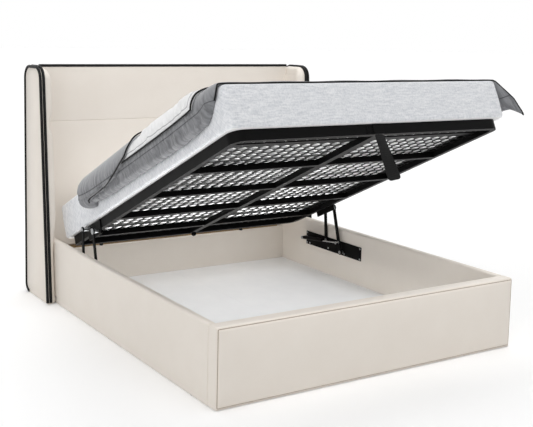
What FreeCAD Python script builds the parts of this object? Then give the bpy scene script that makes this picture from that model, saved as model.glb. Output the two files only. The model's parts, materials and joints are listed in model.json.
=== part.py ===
import FreeCAD, Part

import math
import os
import re
from types import SimpleNamespace

# A lift-up storage bed, shown open: an upholstered box with a winged headboard, and a steel mattress
# platform that two pairs of arms carry. X runs across the bed, +Y towards the headboard, +Z up. The
# origin lies on the floor, in the middle between the foot's face and the headboard's back.
SIZES = {
    # Mattress and the room that the box leaves around it
    "mattress_wide": 1600,
    "mattress_long": 2000,
    "mattress_thick": 195,
    "mattress_shell": 12,
    "mattress_corner": 55,
    "mattress_edge": 22,
    "side_gap": 32,
    "foot_gap": 8,
    "head_gap": 9,
    # Upholstered box
    "box_high": 360,
    "glide_high": 10,
    "glide_radius": 22,
    "cover_thick": 10,
    "cover_round": 9,
    "rail_board": 18,
    "foot_depth": 78,
    "foot_pad_thick": 16,
    "foot_pad_crown": 7,
    "foot_border": 24,
    "head_panel_back": 59,
    "head_panel_thick": 24,
    # Storage floor
    "batten_wide": 24,
    "batten_high": 24,
    "floor_beam_wide": 60,
    "floor_thick": 8,
    "floor_gap": 1,
    # Headboard
    "headboard_high": 1345,
    "pad_thick": 18,
    "pad_crown": 8,
    "pad_gap": 3,
    "upper_pad_high": 323,
    "core_thick": 50,
    "core_stile": 70,
    "core_face": 9,
    "back_thick": 10,
    # Wings
    "wing_gap": 2,
    "wing_thick": 52,
    "wing_front_low": 350,
    "wing_front_high": 244,
    "wing_corner": 70,
    "wing_heel": 45,
    "piping_radius": 5,
    "piping_apart": 15,
    # Steel corner cleats inside the box
    "cleat_leg": 45,
    "cleat_thick": 3,
    "cleat_high": 120,
    "cleat_low": 90,
    "bolt_radius": 6,
    "bolt_head": 4,
    # Open position of the platform: the mattress's lower edge at the head, and its tilt
    "open_back": 225,
    "open_high": 358,
    "open_tilt": 24.36,
    # Lift base plates on the rails
    "plate_thick": 4,
    "plate_long": 572,
    "plate_back": 341,
    "plate_low": 195,
    "plate_high": 85,
    "screw_radius": 6,
    "screw_head": 2.5,
    "screw_inset": 10,
    # Lift arms and their pivots
    "arm_thick": 6,
    "arm_wide": 25,
    "arm_end_radius": 16,
    "rear_arm_inset": 6,
    "front_arm_inset": 20,
    "rear_pivot_along": 221.7,
    "rear_pivot_up": 67,
    "front_pivot_along": 388.3,
    "front_pivot_up": 21,
    "rear_top_along": 340,
    "rear_top_below": 22,
    "front_top_along": 442,
    "front_top_below": 58,
    "pin_radius": 6,
    "pin_clearance": 0.05,
    "collar_radius": 10,
    "pin_head": 2,
    "side_clearance": 0.3,
    "open_pin_radius": 5,
    "open_pin_play": 6.8,
    "open_end_radius": 19,
    "open_washer_radius": 17,
    # Gas struts
    "strut_pivot_along": 9,
    "strut_pivot_up": 45,
    "strut_inset": 40,
    "strut_crank": 62,
    "strut_bias_angle": -0.65,
    "strut_radius": 11,
    "strut_bore": 9.5,
    "strut_long": 215,
    "strut_neck": 4,
    "strut_base": 30,
    "rod_radius": 4,
    "rod_engage": 39,
    "eye_radius": 9,
    "eye_thick": 14,
    "eye_pin_radius": 5,
    # Platform frame
    "overhang_side": 27,
    "overhang_end": 26,
    "tube_wide": 30,
    "tube_high": 50,
    "tube_wall": 1.5,
    "rim_corner": 60,
    "bar_wide": 28,
    "bar_high": 30,
    "beam_wide": 40,
    "foot_strip_wide": 32,
    "foot_strip_thick": 5,
    "foot_strip_back": 128,
    "mesh_thick": 1.5,
    "mesh_border": 12,
    "mesh_strand": 26,
    "lug_radius": 14,
    "lug_thick": 12,
    "lug_drop": 8,
    "lug_bolt_radius": 5,
    "lug_bolt_head": 4,
    # Lift brackets on the platform's sides
    "bracket_thick": 6,
    "bracket_border": 40,
    "bracket_top": 6,
    "bracket_lip": 22,
    # Rests of the closed platform
    "closed_clearance": 0.5,
    "closed_high": 322,
    "buffer_radius": 14,
    "buffer_high": 13.5,
    "rest_wide": 80,
    "rest_deep": 58,
    "rest_thick": 5,
    # Pull strap
    "strap_wide": 58,
    "strap_thick": 4,
    "strap_top": 2,
    "strap_gap": 0.6,
    "strap_tail": 218,
    "strap_round": 14,
    "strap_offset": -10,
    "clip_wide": 92,
    "clip_high": 40,
    "clip_thick": 2,
    "rivet_radius": 4,
    "rivet_head": 2,
    # Bedding
    "quilt_clear": 0.3,
    "comforter_thick": 26,
    "comforter_ticking": 4,
    "comforter_head": 330,
    "comforter_foot": 1960,
    "left_drop": 118,
    "right_drop": 128,
    "drop_fold": 16,
    "quilt_thick": 24,
    "quilt_left": 700,
    "quilt_right": 720,
}

# Places that follow from the sizes, each worked out once
PLACES = {
    "inner_x": "mattress_wide / 2 + side_gap",
    "rail_thick": "rail_board + 2 * cover_thick",
    "outer_x": "inner_x + rail_thick",
    "wing_x": "outer_x + wing_gap",
    "headboard_deep": "pad_thick + core_thick + back_thick",
    "sleep_long": "foot_depth + foot_gap + mattress_long + head_gap",
    "foot_y": "-(sleep_long + headboard_deep) / 2",
    "head_y": "foot_y + sleep_long",
    "core_y": "head_y + pad_thick",
    "back_y": "core_y + core_thick",
    "rear_y": "back_y + back_thick",
    "store_y": "foot_y + foot_depth",
    "rail_long": "core_y - store_y",
    "panel_y": "head_y - head_panel_back",
    "store_long": "panel_y - store_y",
    "floor_z": "glide_high + batten_high",
    "open_y": "head_y - open_back",
    "plate_end_y": "head_y - plate_back",
    "plate_y": "plate_end_y - plate_long",
    "rear_pivot_y": "plate_end_y - rear_pivot_along",
    "rear_pivot_z": "plate_low + rear_pivot_up",
    "front_pivot_y": "plate_end_y - front_pivot_along",
    "front_pivot_z": "plate_low + front_pivot_up",
    "rear_top_y": "open_y - rear_top_along * cos(open_tilt) - rear_top_below * sin(open_tilt)",
    "rear_top_z": "open_high + rear_top_along * sin(open_tilt) - rear_top_below * cos(open_tilt)",
    "front_top_y": "open_y - front_top_along * cos(open_tilt) - front_top_below * sin(open_tilt)",
    "front_top_z": "open_high + front_top_along * sin(open_tilt) - front_top_below * cos(open_tilt)",
    "rear_arm_long": "hypot(rear_top_y - rear_pivot_y; rear_top_z - rear_pivot_z)",
    "rear_arm_turn": "atan2(rear_top_z - rear_pivot_z; rear_top_y - rear_pivot_y)",
    "front_arm_long": "hypot(front_top_y - front_pivot_y; front_top_z - front_pivot_z)",
    "front_arm_turn": "atan2(front_top_z - front_pivot_z; front_top_y - front_pivot_y)",
    "strut_low_y": "plate_end_y - strut_pivot_along",
    "strut_low_z": "plate_low + strut_pivot_up",
    "strut_top_y": "front_pivot_y + strut_crank * cos(front_arm_turn)",
    "strut_top_z": "front_pivot_z + strut_crank * sin(front_arm_turn)",
    "strut_line": "atan2(strut_top_z - strut_low_z; strut_top_y - strut_low_y)",
    "strut_turn": "strut_line + strut_bias_angle",
    "strut_span": "hypot(strut_top_y - strut_low_y; strut_top_z - strut_low_z)",
    "rod_long": "strut_span - strut_long + rod_engage",
    "tube_start": "collar_radius + strut_neck",
    "plate_x": "inner_x - plate_thick",
    "rear_arm_x": "inner_x - rear_arm_inset - arm_thick",
    "front_arm_x": "inner_x - front_arm_inset - arm_thick",
    "strut_x": "inner_x - strut_inset",
    "frame_x": "mattress_wide / 2 - overhang_side",
    "frame_inner_x": "frame_x - tube_wide",
    "frame_head": "overhang_end",
    "frame_foot": "mattress_long - overhang_end",
    "bay_head": "frame_head + tube_wide",
    "bay_foot": "frame_foot - tube_wide",
    "bay_long": "bay_foot - bay_head",
    "foot_strip_along": "bay_foot - foot_strip_back",
    "bracket_x": "frame_x + bracket_thick",
    "bracket_near": "rear_top_along - bracket_border",
    "bracket_far": "front_top_along + bracket_border",
    "bracket_low": "front_top_below + bracket_lip",
    "mesh_z": "bar_high - tube_high",
    "rest_z": "closed_high - tube_high - closed_clearance",
    "panel_top": "rest_z - buffer_high",
    "pad_seam_z": "headboard_high - upper_pad_high",
}

# Cross-bar centre lines and other spread pieces, as shares of the length that they follow
BAR_SHARES = (0.102, 0.318, 0.533, 0.753)
GLIDE_SHARES = (0.07, 0.5, 0.93)
BEAM_GLIDE_SHARES = (-0.3, 0.0, 0.3)
SCREW_SHARES = ((0.0, 0.0), (0.055, 0.0), (0.42, 0.1), (0.72, 0.05), (1.0, 0.0), (1.0, 1.0), (0.0, 1.0))
REST_SHARES = (-0.5, 0.5)
MESH_COLUMNS = 8
MESH_ROWS = 18
MESH_FLAT_SHARE = 0.45
SIDES = (("left", -1), ("right", 1))

doc = FreeCAD.newDocument("lift_up_bed")
sheet = doc.addObject("Spreadsheet::Sheet", "Sizes")
for row, (name, amount) in enumerate(SIZES.items(), start=1):
    sheet.set(f"A{row}", name)
    sheet.set(f"B{row}", str(amount))
    sheet.setAlias(f"B{row}", name)
doc.recompute()

NODES = []


def formula(text):
    """Turn a formula of size and place names into an expression of the document."""
    def owner(match):
        name = match.group()
        return ("Sizes." if name in SIZES else "Places.") + name
    return re.sub(r"\b[a-z][a-z_0-9]*\b(?!\()", owner, text)


places = doc.addObject("App::VarSet", "Places")
for name in PLACES:
    places.addProperty("App::PropertyFloat", name)
for name, text in PLACES.items():
    places.setExpression(name, formula(text))
doc.recompute()
d = SimpleNamespace()
for name in SIZES:
    setattr(d, name, float(sheet.get(name)))
for name in PLACES:
    setattr(d, name, getattr(places, name))


def bind(thing, **formulas):
    """Tie properties of a document object to formulas."""
    for name, text in formulas.items():
        thing.setExpression(name.replace("__", "."), formula(text))


def place(thing, x, y, z):
    """Tie the three coordinates of an object's origin to formulas."""
    bind(thing, Placement__Base__x=x, Placement__Base__y=y, Placement__Base__z=z)


def block(name, size, at):
    """A box with its lowest corner at a point."""
    box = doc.addObject("Part::Box", name)
    bind(box, Length=size[0], Width=size[1], Height=size[2])
    place(box, *at)
    return box


def bar(name, radius, long, at, axis="x"):
    """A round bar that starts at a point and runs along +X, +Y or +Z."""
    rod = doc.addObject("Part::Cylinder", name)
    turns = {
        "x": (FreeCAD.Vector(0, 1, 0), 90),
        "y": (FreeCAD.Vector(1, 0, 0), -90),
        "z": (FreeCAD.Vector(0, 0, 1), 0),
    }
    rod.Placement = FreeCAD.Placement(FreeCAD.Vector(), FreeCAD.Rotation(*turns[axis]))
    bind(rod, Radius=radius, Height=long)
    place(rod, *at)
    return rod


def cut(name, base, *tools):
    """What is left of a solid after others are taken out of it."""
    result = doc.addObject("Part::Cut", name)
    result.Base = base
    result.Tool = tools[0] if len(tools) == 1 else group(name + "_tools", tools)
    return result


def join(name, *pieces):
    """Several solids made one."""
    result = doc.addObject("Part::MultiFuse", name)
    result.Shapes = list(pieces)
    return result


def group(name, pieces):
    """Separate solids kept side by side in one object."""
    result = doc.addObject("Part::Compound", name)
    result.Links = list(pieces)
    return result


def rounded(name, base, radius, wanted):
    """A solid with the edges that a test picks rounded off."""
    doc.recompute()
    result = doc.addObject("Part::Fillet", name)
    result.Base = base
    picked = [i for i, edge in enumerate(base.Shape.Edges, start=1) if wanted(edge)]
    result.Edges = [(i, radius, radius) for i in picked]
    return result


def feature(name, shape):
    """A solid whose shape is worked out here from the sizes."""
    thing = doc.addObject("Part::Feature", name)
    thing.Shape = shape
    return thing


def node(label, thing):
    """Name a finished sub-part."""
    thing.Label = label
    NODES.append(thing)
    return thing


def framed(name, size, at):
    """A hollow board: two facing sheets across Y on a frame of stiles."""
    void = block(
        name + "_void",
        (f"{size[0]} - 2 * core_stile", f"{size[1]} - 2 * core_face", f"{size[2]} - 2 * core_stile"),
        (f"{at[0]} + core_stile", f"{at[1]} + core_face", f"{at[2]} + core_stile"),
    )
    return cut(name + "_frame", block(name, size, at), void)


def side_x(sign, near, thick):
    """Lowest x of a piece that stands a distance from the middle, on either side."""
    return near if sign > 0 else f"-({near}) - ({thick})"


def on_platform(thing):
    """Carry an object drawn on the level platform to the platform's open position."""
    thing.Placement = FreeCAD.Placement(
        FreeCAD.Vector(), FreeCAD.Rotation(FreeCAD.Vector(-1, 0, 0), d.open_tilt)
    )
    bind(thing, Placement__Rotation__Angle="open_tilt")
    bind(thing, Placement__Base__y="open_y", Placement__Base__z="open_high")
    return thing


def turned(thing, x, y, z, angle_name):
    """Carry a link drawn along +Y to its pivot and turn it up about X."""
    angle = getattr(d, angle_name)
    thing.Placement = FreeCAD.Placement(FreeCAD.Vector(), FreeCAD.Rotation(FreeCAD.Vector(1, 0, 0), angle))
    bind(thing, Placement__Rotation__Angle=angle_name)
    place(thing, x, y, z)
    return thing


def along_y(edge):
    """Whether a straight edge runs along Y."""
    return abs(abs(edge.tangentAt(edge.FirstParameter).y) - 1) < 1e-6


def along_z(edge):
    """Whether a straight edge runs along Z."""
    return abs(abs(edge.tangentAt(edge.FirstParameter).z) - 1) < 1e-6


# Side rails: boards with a padded cover folded over the outer face, the top and the inner face
for side, sign in SIDES:
    board = block(
        f"{side}_rail_board_box",
        ("rail_board", "rail_long", "box_high - glide_high - cover_thick"),
        (side_x(sign, "inner_x + cover_thick", "rail_board"), "store_y", "glide_high"),
    )
    node(f"{side}_rail_board", board)
    wrap = block(
        f"{side}_rail_wrap",
        ("rail_thick", "rail_long", "box_high - glide_high"),
        (side_x(sign, "inner_x", "rail_thick"), "store_y", "glide_high"),
    )
    soft = rounded(
        f"{side}_rail_round", wrap, d.cover_round,
        lambda edge: along_y(edge) and edge.CenterOfMass.z > d.box_high / 2,
    )
    node(f"{side}_rail_cover", cut(f"{side}_rail_cut", soft, board))

# Foot rail: a deep board, its cover, and a padded panel set in the cover's face
foot_size = (
    "2 * (outer_x - cover_thick)", "foot_depth - foot_pad_thick - cover_thick",
    "box_high - glide_high - cover_thick",
)
foot_corner = ("cover_thick - outer_x", "foot_y + foot_pad_thick", "glide_high")
node("foot_board", framed("foot_board_box", foot_size, foot_corner))
foot_wrap = block(
    "foot_wrap", ("2 * outer_x", "foot_depth", "box_high - glide_high"), ("-outer_x", "foot_y", "glide_high")
)
foot_soft = rounded(
    "foot_round", foot_wrap, d.cover_round,
    lambda edge: edge.CenterOfMass.z > d.box_high / 2 or (
        along_z(edge) and edge.CenterOfMass.y < d.foot_y + d.foot_depth / 2
    ),
)
foot_recess = block(
    "foot_recess",
    ("2 * (outer_x - foot_border)", "foot_pad_thick", "box_high - glide_high - 2 * foot_border"),
    ("foot_border - outer_x", "foot_y", "glide_high + foot_border"),
)
foot_room = block("foot_room", foot_size, foot_corner)
node("foot_cover", cut("foot_cover_cut", foot_soft, foot_room, foot_recess))


def crowned_pad(half_wide, low, high, front, thick, crown):
    """A panel with a flat back whose face swells to the front, as an arc from its lower to its upper edge."""
    back = front + thick
    edge = front + crown
    middle = (low + high) / 2
    profile = Part.Wire([
        Part.Arc(
            FreeCAD.Vector(-half_wide, edge, low),
            FreeCAD.Vector(-half_wide, front, middle),
            FreeCAD.Vector(-half_wide, edge, high),
        ).toShape(),
        Part.makeLine(FreeCAD.Vector(-half_wide, edge, high), FreeCAD.Vector(-half_wide, back, high)),
        Part.makeLine(FreeCAD.Vector(-half_wide, back, high), FreeCAD.Vector(-half_wide, back, low)),
        Part.makeLine(FreeCAD.Vector(-half_wide, back, low), FreeCAD.Vector(-half_wide, edge, low)),
    ])
    return Part.Face(profile).extrude(FreeCAD.Vector(2 * half_wide, 0, 0))


node("foot_pad", feature("foot_pad_form", crowned_pad(
    d.outer_x - d.foot_border - d.pad_gap / 2,
    d.glide_high + d.foot_border + d.pad_gap / 2,
    d.box_high - d.foot_border - d.pad_gap / 2,
    d.foot_y, d.foot_pad_thick, d.foot_pad_crown,
)))

# Head panel, battens and the two floor boards of the storage space
node("head_panel", block(
    "head_panel_box",
    ("2 * inner_x", "head_panel_thick", "panel_top - glide_high"),
    ("-inner_x", "panel_y", "glide_high"),
))
battens = []
for side, sign in SIDES:
    battens.append(block(
        f"{side}_batten", ("batten_wide", "store_long", "batten_high"),
        (side_x(sign, "inner_x - batten_wide", "batten_wide"), "store_y", "glide_high"),
    ))
node("floor_battens", group("batten_group", battens))
node("floor_beam", block(
    "floor_beam_box", ("floor_beam_wide", "store_long", "batten_high"),
    ("-floor_beam_wide / 2", "store_y", "glide_high"),
))
for side, sign in SIDES:
    node(f"{side}_floor_panel", block(
        f"{side}_floor_box",
        ("inner_x - 1.5 * floor_gap", "store_long - 2 * floor_gap", "floor_thick"),
        (side_x(sign, "floor_gap / 2", "inner_x - 1.5 * floor_gap"), "store_y + floor_gap", "floor_z"),
    ))

# Glides under the rails, the floor beam and the wings
glides = []
for side, sign in SIDES:
    for i, share in enumerate(GLIDE_SHARES):
        glides.append(bar(
            f"{side}_glide_{i}", "glide_radius * 0.8", "glide_high",
            (f"{sign} * (inner_x + rail_thick / 2)", f"store_y + rail_long * {share}", "0"), "z",
        ))
    glides.append(bar(
        f"{side}_wing_glide", "glide_radius", "glide_high",
        (f"{sign} * (wing_x + wing_thick / 2)", "rear_y - wing_front_low / 2", "0"), "z",
    ))
for i, share in enumerate(BEAM_GLIDE_SHARES):
    beam_place = ("0", f"store_long * {share}", "0")
    glides.append(bar(f"beam_glide_{i}", "glide_radius", "glide_high", beam_place, "z"))
node("glides", group("glide_group", glides))

# Headboard: core panel, two padded fronts with a seam between them, back and top cover, piped top edge
node("headboard_core", framed(
    "headboard_core_box",
    ("2 * wing_x", "core_thick", "headboard_high - back_thick - glide_high"),
    ("-wing_x", "core_y", "glide_high"),
))
for label, low, high in (
    ("headboard_lower_pad", d.box_high + d.pad_gap, d.pad_seam_z - d.pad_gap / 2),
    ("headboard_upper_pad", d.pad_seam_z + d.pad_gap / 2, d.headboard_high),
):
    node(label, feature(label + "_form", crowned_pad(
        d.wing_x - d.pad_gap / 2, low, high, d.head_y, d.pad_thick, d.pad_crown,
    )))
node("headboard_back_cover", join(
    "back_cover_join",
    block(
        "back_sheet", ("2 * wing_x", "back_thick", "headboard_high - glide_high"),
        ("-wing_x", "back_y", "glide_high"),
    ),
    block(
        "top_strip", ("2 * wing_x", "core_thick", "back_thick"),
        ("-wing_x", "core_y", "headboard_high - back_thick"),
    ),
))
node("headboard_top_piping", bar(
    "headboard_top_piping_bar", "piping_radius", "2 * wing_x - 2 * piping_radius",
    ("piping_radius - wing_x", "core_y - pad_thick / 2", "headboard_high + piping_radius"),
))


def wing_outline(grow):
    """Path up a wing's leaning front, over its round top and down its back to the round heel.

    The wing's own outline has grow 0, and the path of its piping lies outside it by the piping's radius."""
    low = d.glide_high
    top = d.headboard_high + grow
    back = d.rear_y + grow
    slope = (d.wing_front_low - d.wing_front_high) / (d.headboard_high - low)
    lean = math.atan(slope)
    front_low = d.rear_y - d.wing_front_low - grow / math.cos(lean)
    front_high = front_low + slope * (top - low)
    radius = d.wing_corner + grow
    heel = d.wing_heel + grow
    reach = radius * math.tan((math.pi / 2 - lean) / 2)
    inward = 1 - math.sqrt(0.5)
    start = FreeCAD.Vector(0, front_low, low)
    front_end = FreeCAD.Vector(0, front_high - reach * math.sin(lean), top - reach * math.cos(lean))
    front_mid = FreeCAD.Vector(0, front_high + reach - radius * math.sqrt(0.5), top - radius * inward)
    top_start = FreeCAD.Vector(0, front_high + reach, top)
    top_end = FreeCAD.Vector(0, back - radius, top)
    back_mid = FreeCAD.Vector(0, back - radius * inward, top - radius * inward)
    back_start = FreeCAD.Vector(0, back, top - radius)
    back_end = FreeCAD.Vector(0, back, low + heel)
    heel_mid = FreeCAD.Vector(0, back - heel * inward, low + heel * inward)
    heel_end = FreeCAD.Vector(0, back - heel, low)
    edges = [
        Part.makeLine(start, front_end),
        Part.Arc(front_end, front_mid, top_start).toShape(),
        Part.makeLine(top_start, top_end),
        Part.Arc(top_end, back_mid, back_start).toShape(),
        Part.makeLine(back_start, back_end),
        Part.Arc(back_end, heel_mid, heel_end).toShape(),
    ]
    return edges, start, heel_end


def wing_solid(inset, thick):
    """A wing's outline, drawn in by a distance, as a slab of the given thickness."""
    edges, start, end = wing_outline(0)
    face = Part.Face(Part.Wire(edges + [Part.makeLine(end, start)]))
    if inset:
        face = Part.Face(face.OuterWire.makeOffset2D(-inset))
    return face.extrude(FreeCAD.Vector(thick, 0, 0))


def wing_piping(across):
    """A cord round a wing's edge, at a place across the bed."""
    edges, start, end = wing_outline(d.piping_radius)
    path = Part.Wire(edges[:-1])
    heading = (edges[0].Vertexes[-1].Point - edges[0].Vertexes[0].Point).normalize()
    section = Part.Wire([Part.makeCircle(d.piping_radius, start, heading)])
    cord = path.makePipeShell([section], True, False)
    cord.translate(FreeCAD.Vector(across, 0, 0))
    return cord


for side, sign in SIDES:
    inner = d.wing_x if sign > 0 else -d.wing_x - d.wing_thick
    core = wing_solid(d.cover_thick, d.wing_thick - 2 * d.cover_thick)
    core.translate(FreeCAD.Vector(inner + d.cover_thick, 0, 0))
    node(f"{side}_wing_core", feature(f"{side}_wing_core_form", core))
    whole = wing_solid(0, d.wing_thick)
    whole.translate(FreeCAD.Vector(inner, 0, 0))
    node(f"{side}_wing_cover", feature(f"{side}_wing_cover_form", whole.cut(core)))
    outer = inner + d.wing_thick - d.piping_radius if sign > 0 else inner + d.piping_radius
    cords = [wing_piping(outer), wing_piping(outer - sign * d.piping_apart)]
    node(f"{side}_wing_piping", feature(f"{side}_wing_piping_form", Part.makeCompound(cords)))

# Steel angles that tie the rails to the foot board and to the headboard core, and their bolts
angles = []
bolts = []
for side, sign in SIDES:
    for place_name, face_y, step in (("foot", "store_y", 1), ("head", "core_y", -1)):
        leg_y = face_y if step > 0 else f"{face_y} - cleat_leg"
        web_y = face_y if step > 0 else f"{face_y} - cleat_thick"
        leg_x = side_x(sign, "inner_x - cleat_thick", "cleat_thick")
        web_x = side_x(sign, "inner_x - cleat_leg", "cleat_leg")
        angles.append(join(
            f"{side}_{place_name}_angle",
            block(
                f"{side}_{place_name}_leg", ("cleat_thick", "cleat_leg", "cleat_high"),
                (leg_x, leg_y, "cleat_low"),
            ),
            block(
                f"{side}_{place_name}_web", ("cleat_leg", "cleat_thick", "cleat_high"),
                (web_x, web_y, "cleat_low"),
            ),
        ))
        for share in (0.25, 0.75):
            bolts.append(bar(
                f"{side}_{place_name}_bolt_{int(share * 100)}", "bolt_radius", "bolt_head",
                (
                    side_x(sign, "inner_x - cleat_thick - bolt_head", "bolt_head"),
                    f"{face_y} + {step} * cleat_leg * 0.6", f"cleat_low + cleat_high * {share}",
                ),
            ))
node("corner_angles", group("angle_group", angles))
node("corner_bolts", group("bolt_group", bolts))

# Lift base plates with their screws and pivot pins
screws = []
base_pins = []
for side, sign in SIDES:
    node(f"{side}_base_plate", block(
        f"{side}_plate_box", ("plate_thick", "plate_long", "plate_high"),
        (side_x(sign, "plate_x", "plate_thick"), "plate_y", "plate_low"),
    ))
    for i, (along, up) in enumerate(SCREW_SHARES):
        screws.append(bar(
            f"{side}_screw_{i}", "screw_radius", "screw_head",
            (
                side_x(sign, "plate_x - screw_head", "screw_head"),
                f"plate_y + plate_long - screw_inset - (plate_long - 2 * screw_inset) * {along}",
                f"plate_low + screw_inset + (plate_high - 2 * screw_inset) * {up}",
            ),
        ))
    for pivot, y, z, near, thick, radius in (
        ("rear", "rear_pivot_y", "rear_pivot_z", "rear_arm_x", "arm_thick", "pin_radius"),
        ("front", "front_pivot_y", "front_pivot_z", "front_arm_x", "arm_thick", "pin_radius"),
        ("strut", "strut_low_y", "strut_low_z", "strut_x - eye_thick / 2", "eye_thick", "eye_pin_radius"),
    ):
        far = f"({near}) + {thick} + side_clearance"
        close = f"({near}) - side_clearance"
        base_pins.append(join(
            f"{side}_{pivot}_base_pin",
            bar(f"{side}_{pivot}_collar", "collar_radius", f"plate_x - ({far})",
                (side_x(sign, far, f"plate_x - ({far})"), y, z)),
            bar(f"{side}_{pivot}_shank", radius, f"{thick} + 2 * side_clearance",
                (side_x(sign, close, f"{thick} + 2 * side_clearance"), y, z)),
            bar(f"{side}_{pivot}_head", "collar_radius", "pin_head",
                (side_x(sign, f"{close} - pin_head", "pin_head"), y, z)),
        ))
node("plate_screws", group("screw_group", screws))
node("base_pivot_pins", group("base_pin_group", base_pins))


def link_bar(name, long, low_radius, low_hole, high_radius, high_hole):
    """A flat arm along +Y with a round end and a hole at each pivot, drawn with its thickness along +X."""
    strip = block(name + "_strip", ("arm_thick", long, "arm_wide"), ("0", "0", "-arm_wide / 2"))
    low_end = bar(name + "_low_end", low_radius, "arm_thick", ("0", "0", "0"))
    high_end = bar(name + "_high_end", high_radius, "arm_thick", ("0", long, "0"))
    low_bore = bar(name + "_low_bore", low_hole, "3 * arm_thick", ("-arm_thick", "0", "0"))
    high_bore = bar(name + "_high_bore", high_hole, "3 * arm_thick", ("-arm_thick", long, "0"))
    return cut(name + "_cut", join(name + "_join", strip, low_end, high_end), low_bore, high_bore)


# Lift arms: the rear pair turns on both its pins, the front pair meets the platform with play
running = "pin_radius + pin_clearance"
strut_pins = []
for side, sign in SIDES:
    rear = link_bar(f"{side}_rear", "rear_arm_long", "arm_end_radius", running, "arm_end_radius", running)
    turned(rear, side_x(sign, "rear_arm_x", "arm_thick"), "rear_pivot_y", "rear_pivot_z", "rear_arm_turn")
    node(f"{side}_rear_arm", rear)
    front = link_bar(
        f"{side}_front", "front_arm_long", "arm_end_radius", running,
        "open_end_radius", "open_pin_radius + open_pin_play",
    )
    front_x = side_x(sign, "front_arm_x", "arm_thick")
    turned(front, front_x, "front_pivot_y", "front_pivot_z", "front_arm_turn")
    node(f"{side}_front_arm", front)
    eye_far = "strut_x + eye_thick / 2 + side_clearance"
    eye_near = "strut_x - eye_thick / 2 - side_clearance"
    strut_pins.append(join(
        f"{side}_strut_pin",
        bar(f"{side}_strut_pin_collar", "eye_radius", f"front_arm_x - ({eye_far})",
            (side_x(sign, eye_far, f"front_arm_x - ({eye_far})"), "strut_top_y", "strut_top_z")),
        bar(f"{side}_strut_pin_shank", "eye_pin_radius", "eye_thick + 2 * side_clearance",
            (side_x(sign, eye_near, "eye_thick + 2 * side_clearance"), "strut_top_y", "strut_top_z")),
        bar(f"{side}_strut_pin_head", "eye_radius", "pin_head",
            (side_x(sign, f"{eye_near} - pin_head", "pin_head"), "strut_top_y", "strut_top_z")),
    ))
node("strut_pins", group("strut_pin_group", strut_pins))

# Gas struts: a cylinder on the base plate and a rod on the front arm, in line with each other
eye_hole = "eye_pin_radius + pin_clearance"
for side, sign in SIDES:
    eye = bar(f"{side}_cylinder_eye", "eye_radius", "eye_thick", ("-eye_thick / 2", "0", "0"))
    tube_place = ("0", "tube_start", "0")
    tube = bar(f"{side}_cylinder_tube", "strut_radius", "strut_long - tube_start", tube_place, "y")
    neck = bar(f"{side}_cylinder_neck", "rod_radius", "strut_base", ("0", "0", "0"), "y")
    bore = bar(f"{side}_cylinder_bore", "strut_bore", "strut_long", ("0", "strut_base", "0"), "y")
    hole = bar(f"{side}_cylinder_hole", eye_hole, "2 * eye_thick", ("-eye_thick", "0", "0"))
    cylinder = cut(
        f"{side}_cylinder_cut", join(f"{side}_cylinder_join", eye, neck, tube), bore, hole
    )
    turned(cylinder, f"{sign} * strut_x", "strut_low_y", "strut_low_z", "strut_turn")
    node(f"{side}_strut_cylinder", cylinder)
    rod_eye = bar(f"{side}_rod_eye", "eye_radius", "eye_thick", ("-eye_thick / 2", "0", "0"))
    shaft = bar(f"{side}_rod_shaft", "rod_radius", "rod_long", ("0", "-rod_long", "0"), "y")
    rod_hole = bar(f"{side}_rod_hole", eye_hole, "2 * eye_thick", ("-eye_thick", "0", "0"))
    rod = cut(f"{side}_rod_cut", join(f"{side}_rod_join", rod_eye, shaft), rod_hole)
    turned(rod, f"{sign} * strut_x", "strut_top_y", "strut_top_z", "strut_turn")
    node(f"{side}_strut_rod", rod)


def hollow(name, size, at, axis):
    """A rectangular steel tube, open at both ends along one axis."""
    inner_size = [f"{text} - 2 * tube_wall" for text in size]
    inner_at = [f"{text} + tube_wall" for text in at]
    inner_size[axis] = f"{size[axis]} + 2 * tube_wall"
    inner_at[axis] = f"{at[axis]} - tube_wall"
    inside = block(name + "_inside", inner_size, inner_at)
    return cut(name + "_tube", block(name + "_outside", size, at), inside)


# Platform, drawn level with its origin at the mattress's lower head edge and the foot towards -Y
rim_long = "frame_foot - frame_head - 2 * rim_corner"
for side, sign in SIDES:
    node(f"{side}_side_tube", on_platform(hollow(
        f"{side}_side", ("tube_wide", rim_long, "tube_high"),
        (side_x(sign, "frame_inner_x", "tube_wide"), "rim_corner - frame_foot", "-tube_high"), 1,
    )))
for end, near in (("head", "-bay_head"), ("foot", "-frame_foot")):
    node(f"platform_{end}_tube", on_platform(hollow(
        f"platform_{end}", ("2 * (frame_x - rim_corner)", "tube_wide", "tube_high"),
        ("rim_corner - frame_x", near, "-tube_high"), 0,
    )))
corners = []
for side, sign in SIDES:
    for end, middle_y in (("head", "-frame_head - rim_corner"), ("foot", "rim_corner - frame_foot")):
        middle_x = f"{sign} * (frame_x - rim_corner)"
        outside = bar(
            f"{side}_{end}_bend_out", "rim_corner", "tube_high", (middle_x, middle_y, "-tube_high"), "z"
        )
        inside = bar(
            f"{side}_{end}_bend_in", "rim_corner - tube_wide", "2 * tube_high",
            (middle_x, middle_y, "-1.5 * tube_high"), "z",
        )
        quarter = block(
            f"{side}_{end}_bend_quarter", ("rim_corner", "rim_corner", "tube_high"),
            (
                middle_x if sign > 0 else f"{middle_x} - rim_corner",
                middle_y if end == "head" else f"{middle_y} - rim_corner", "-tube_high",
            ),
        )
        whole = doc.addObject("Part::MultiCommon", f"{side}_{end}_bend_common")
        whole.Shapes = [outside, quarter]
        corners.append(cut(f"{side}_{end}_bend", whole, inside))
node("rim_corners", on_platform(group("corner_group", corners)))
node("centre_beam", on_platform(hollow(
    "centre_beam_run", ("beam_wide", "bay_long", "bar_high"), ("-beam_wide / 2", "-bay_foot", "-tube_high"), 1
)))
bars = []
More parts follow.
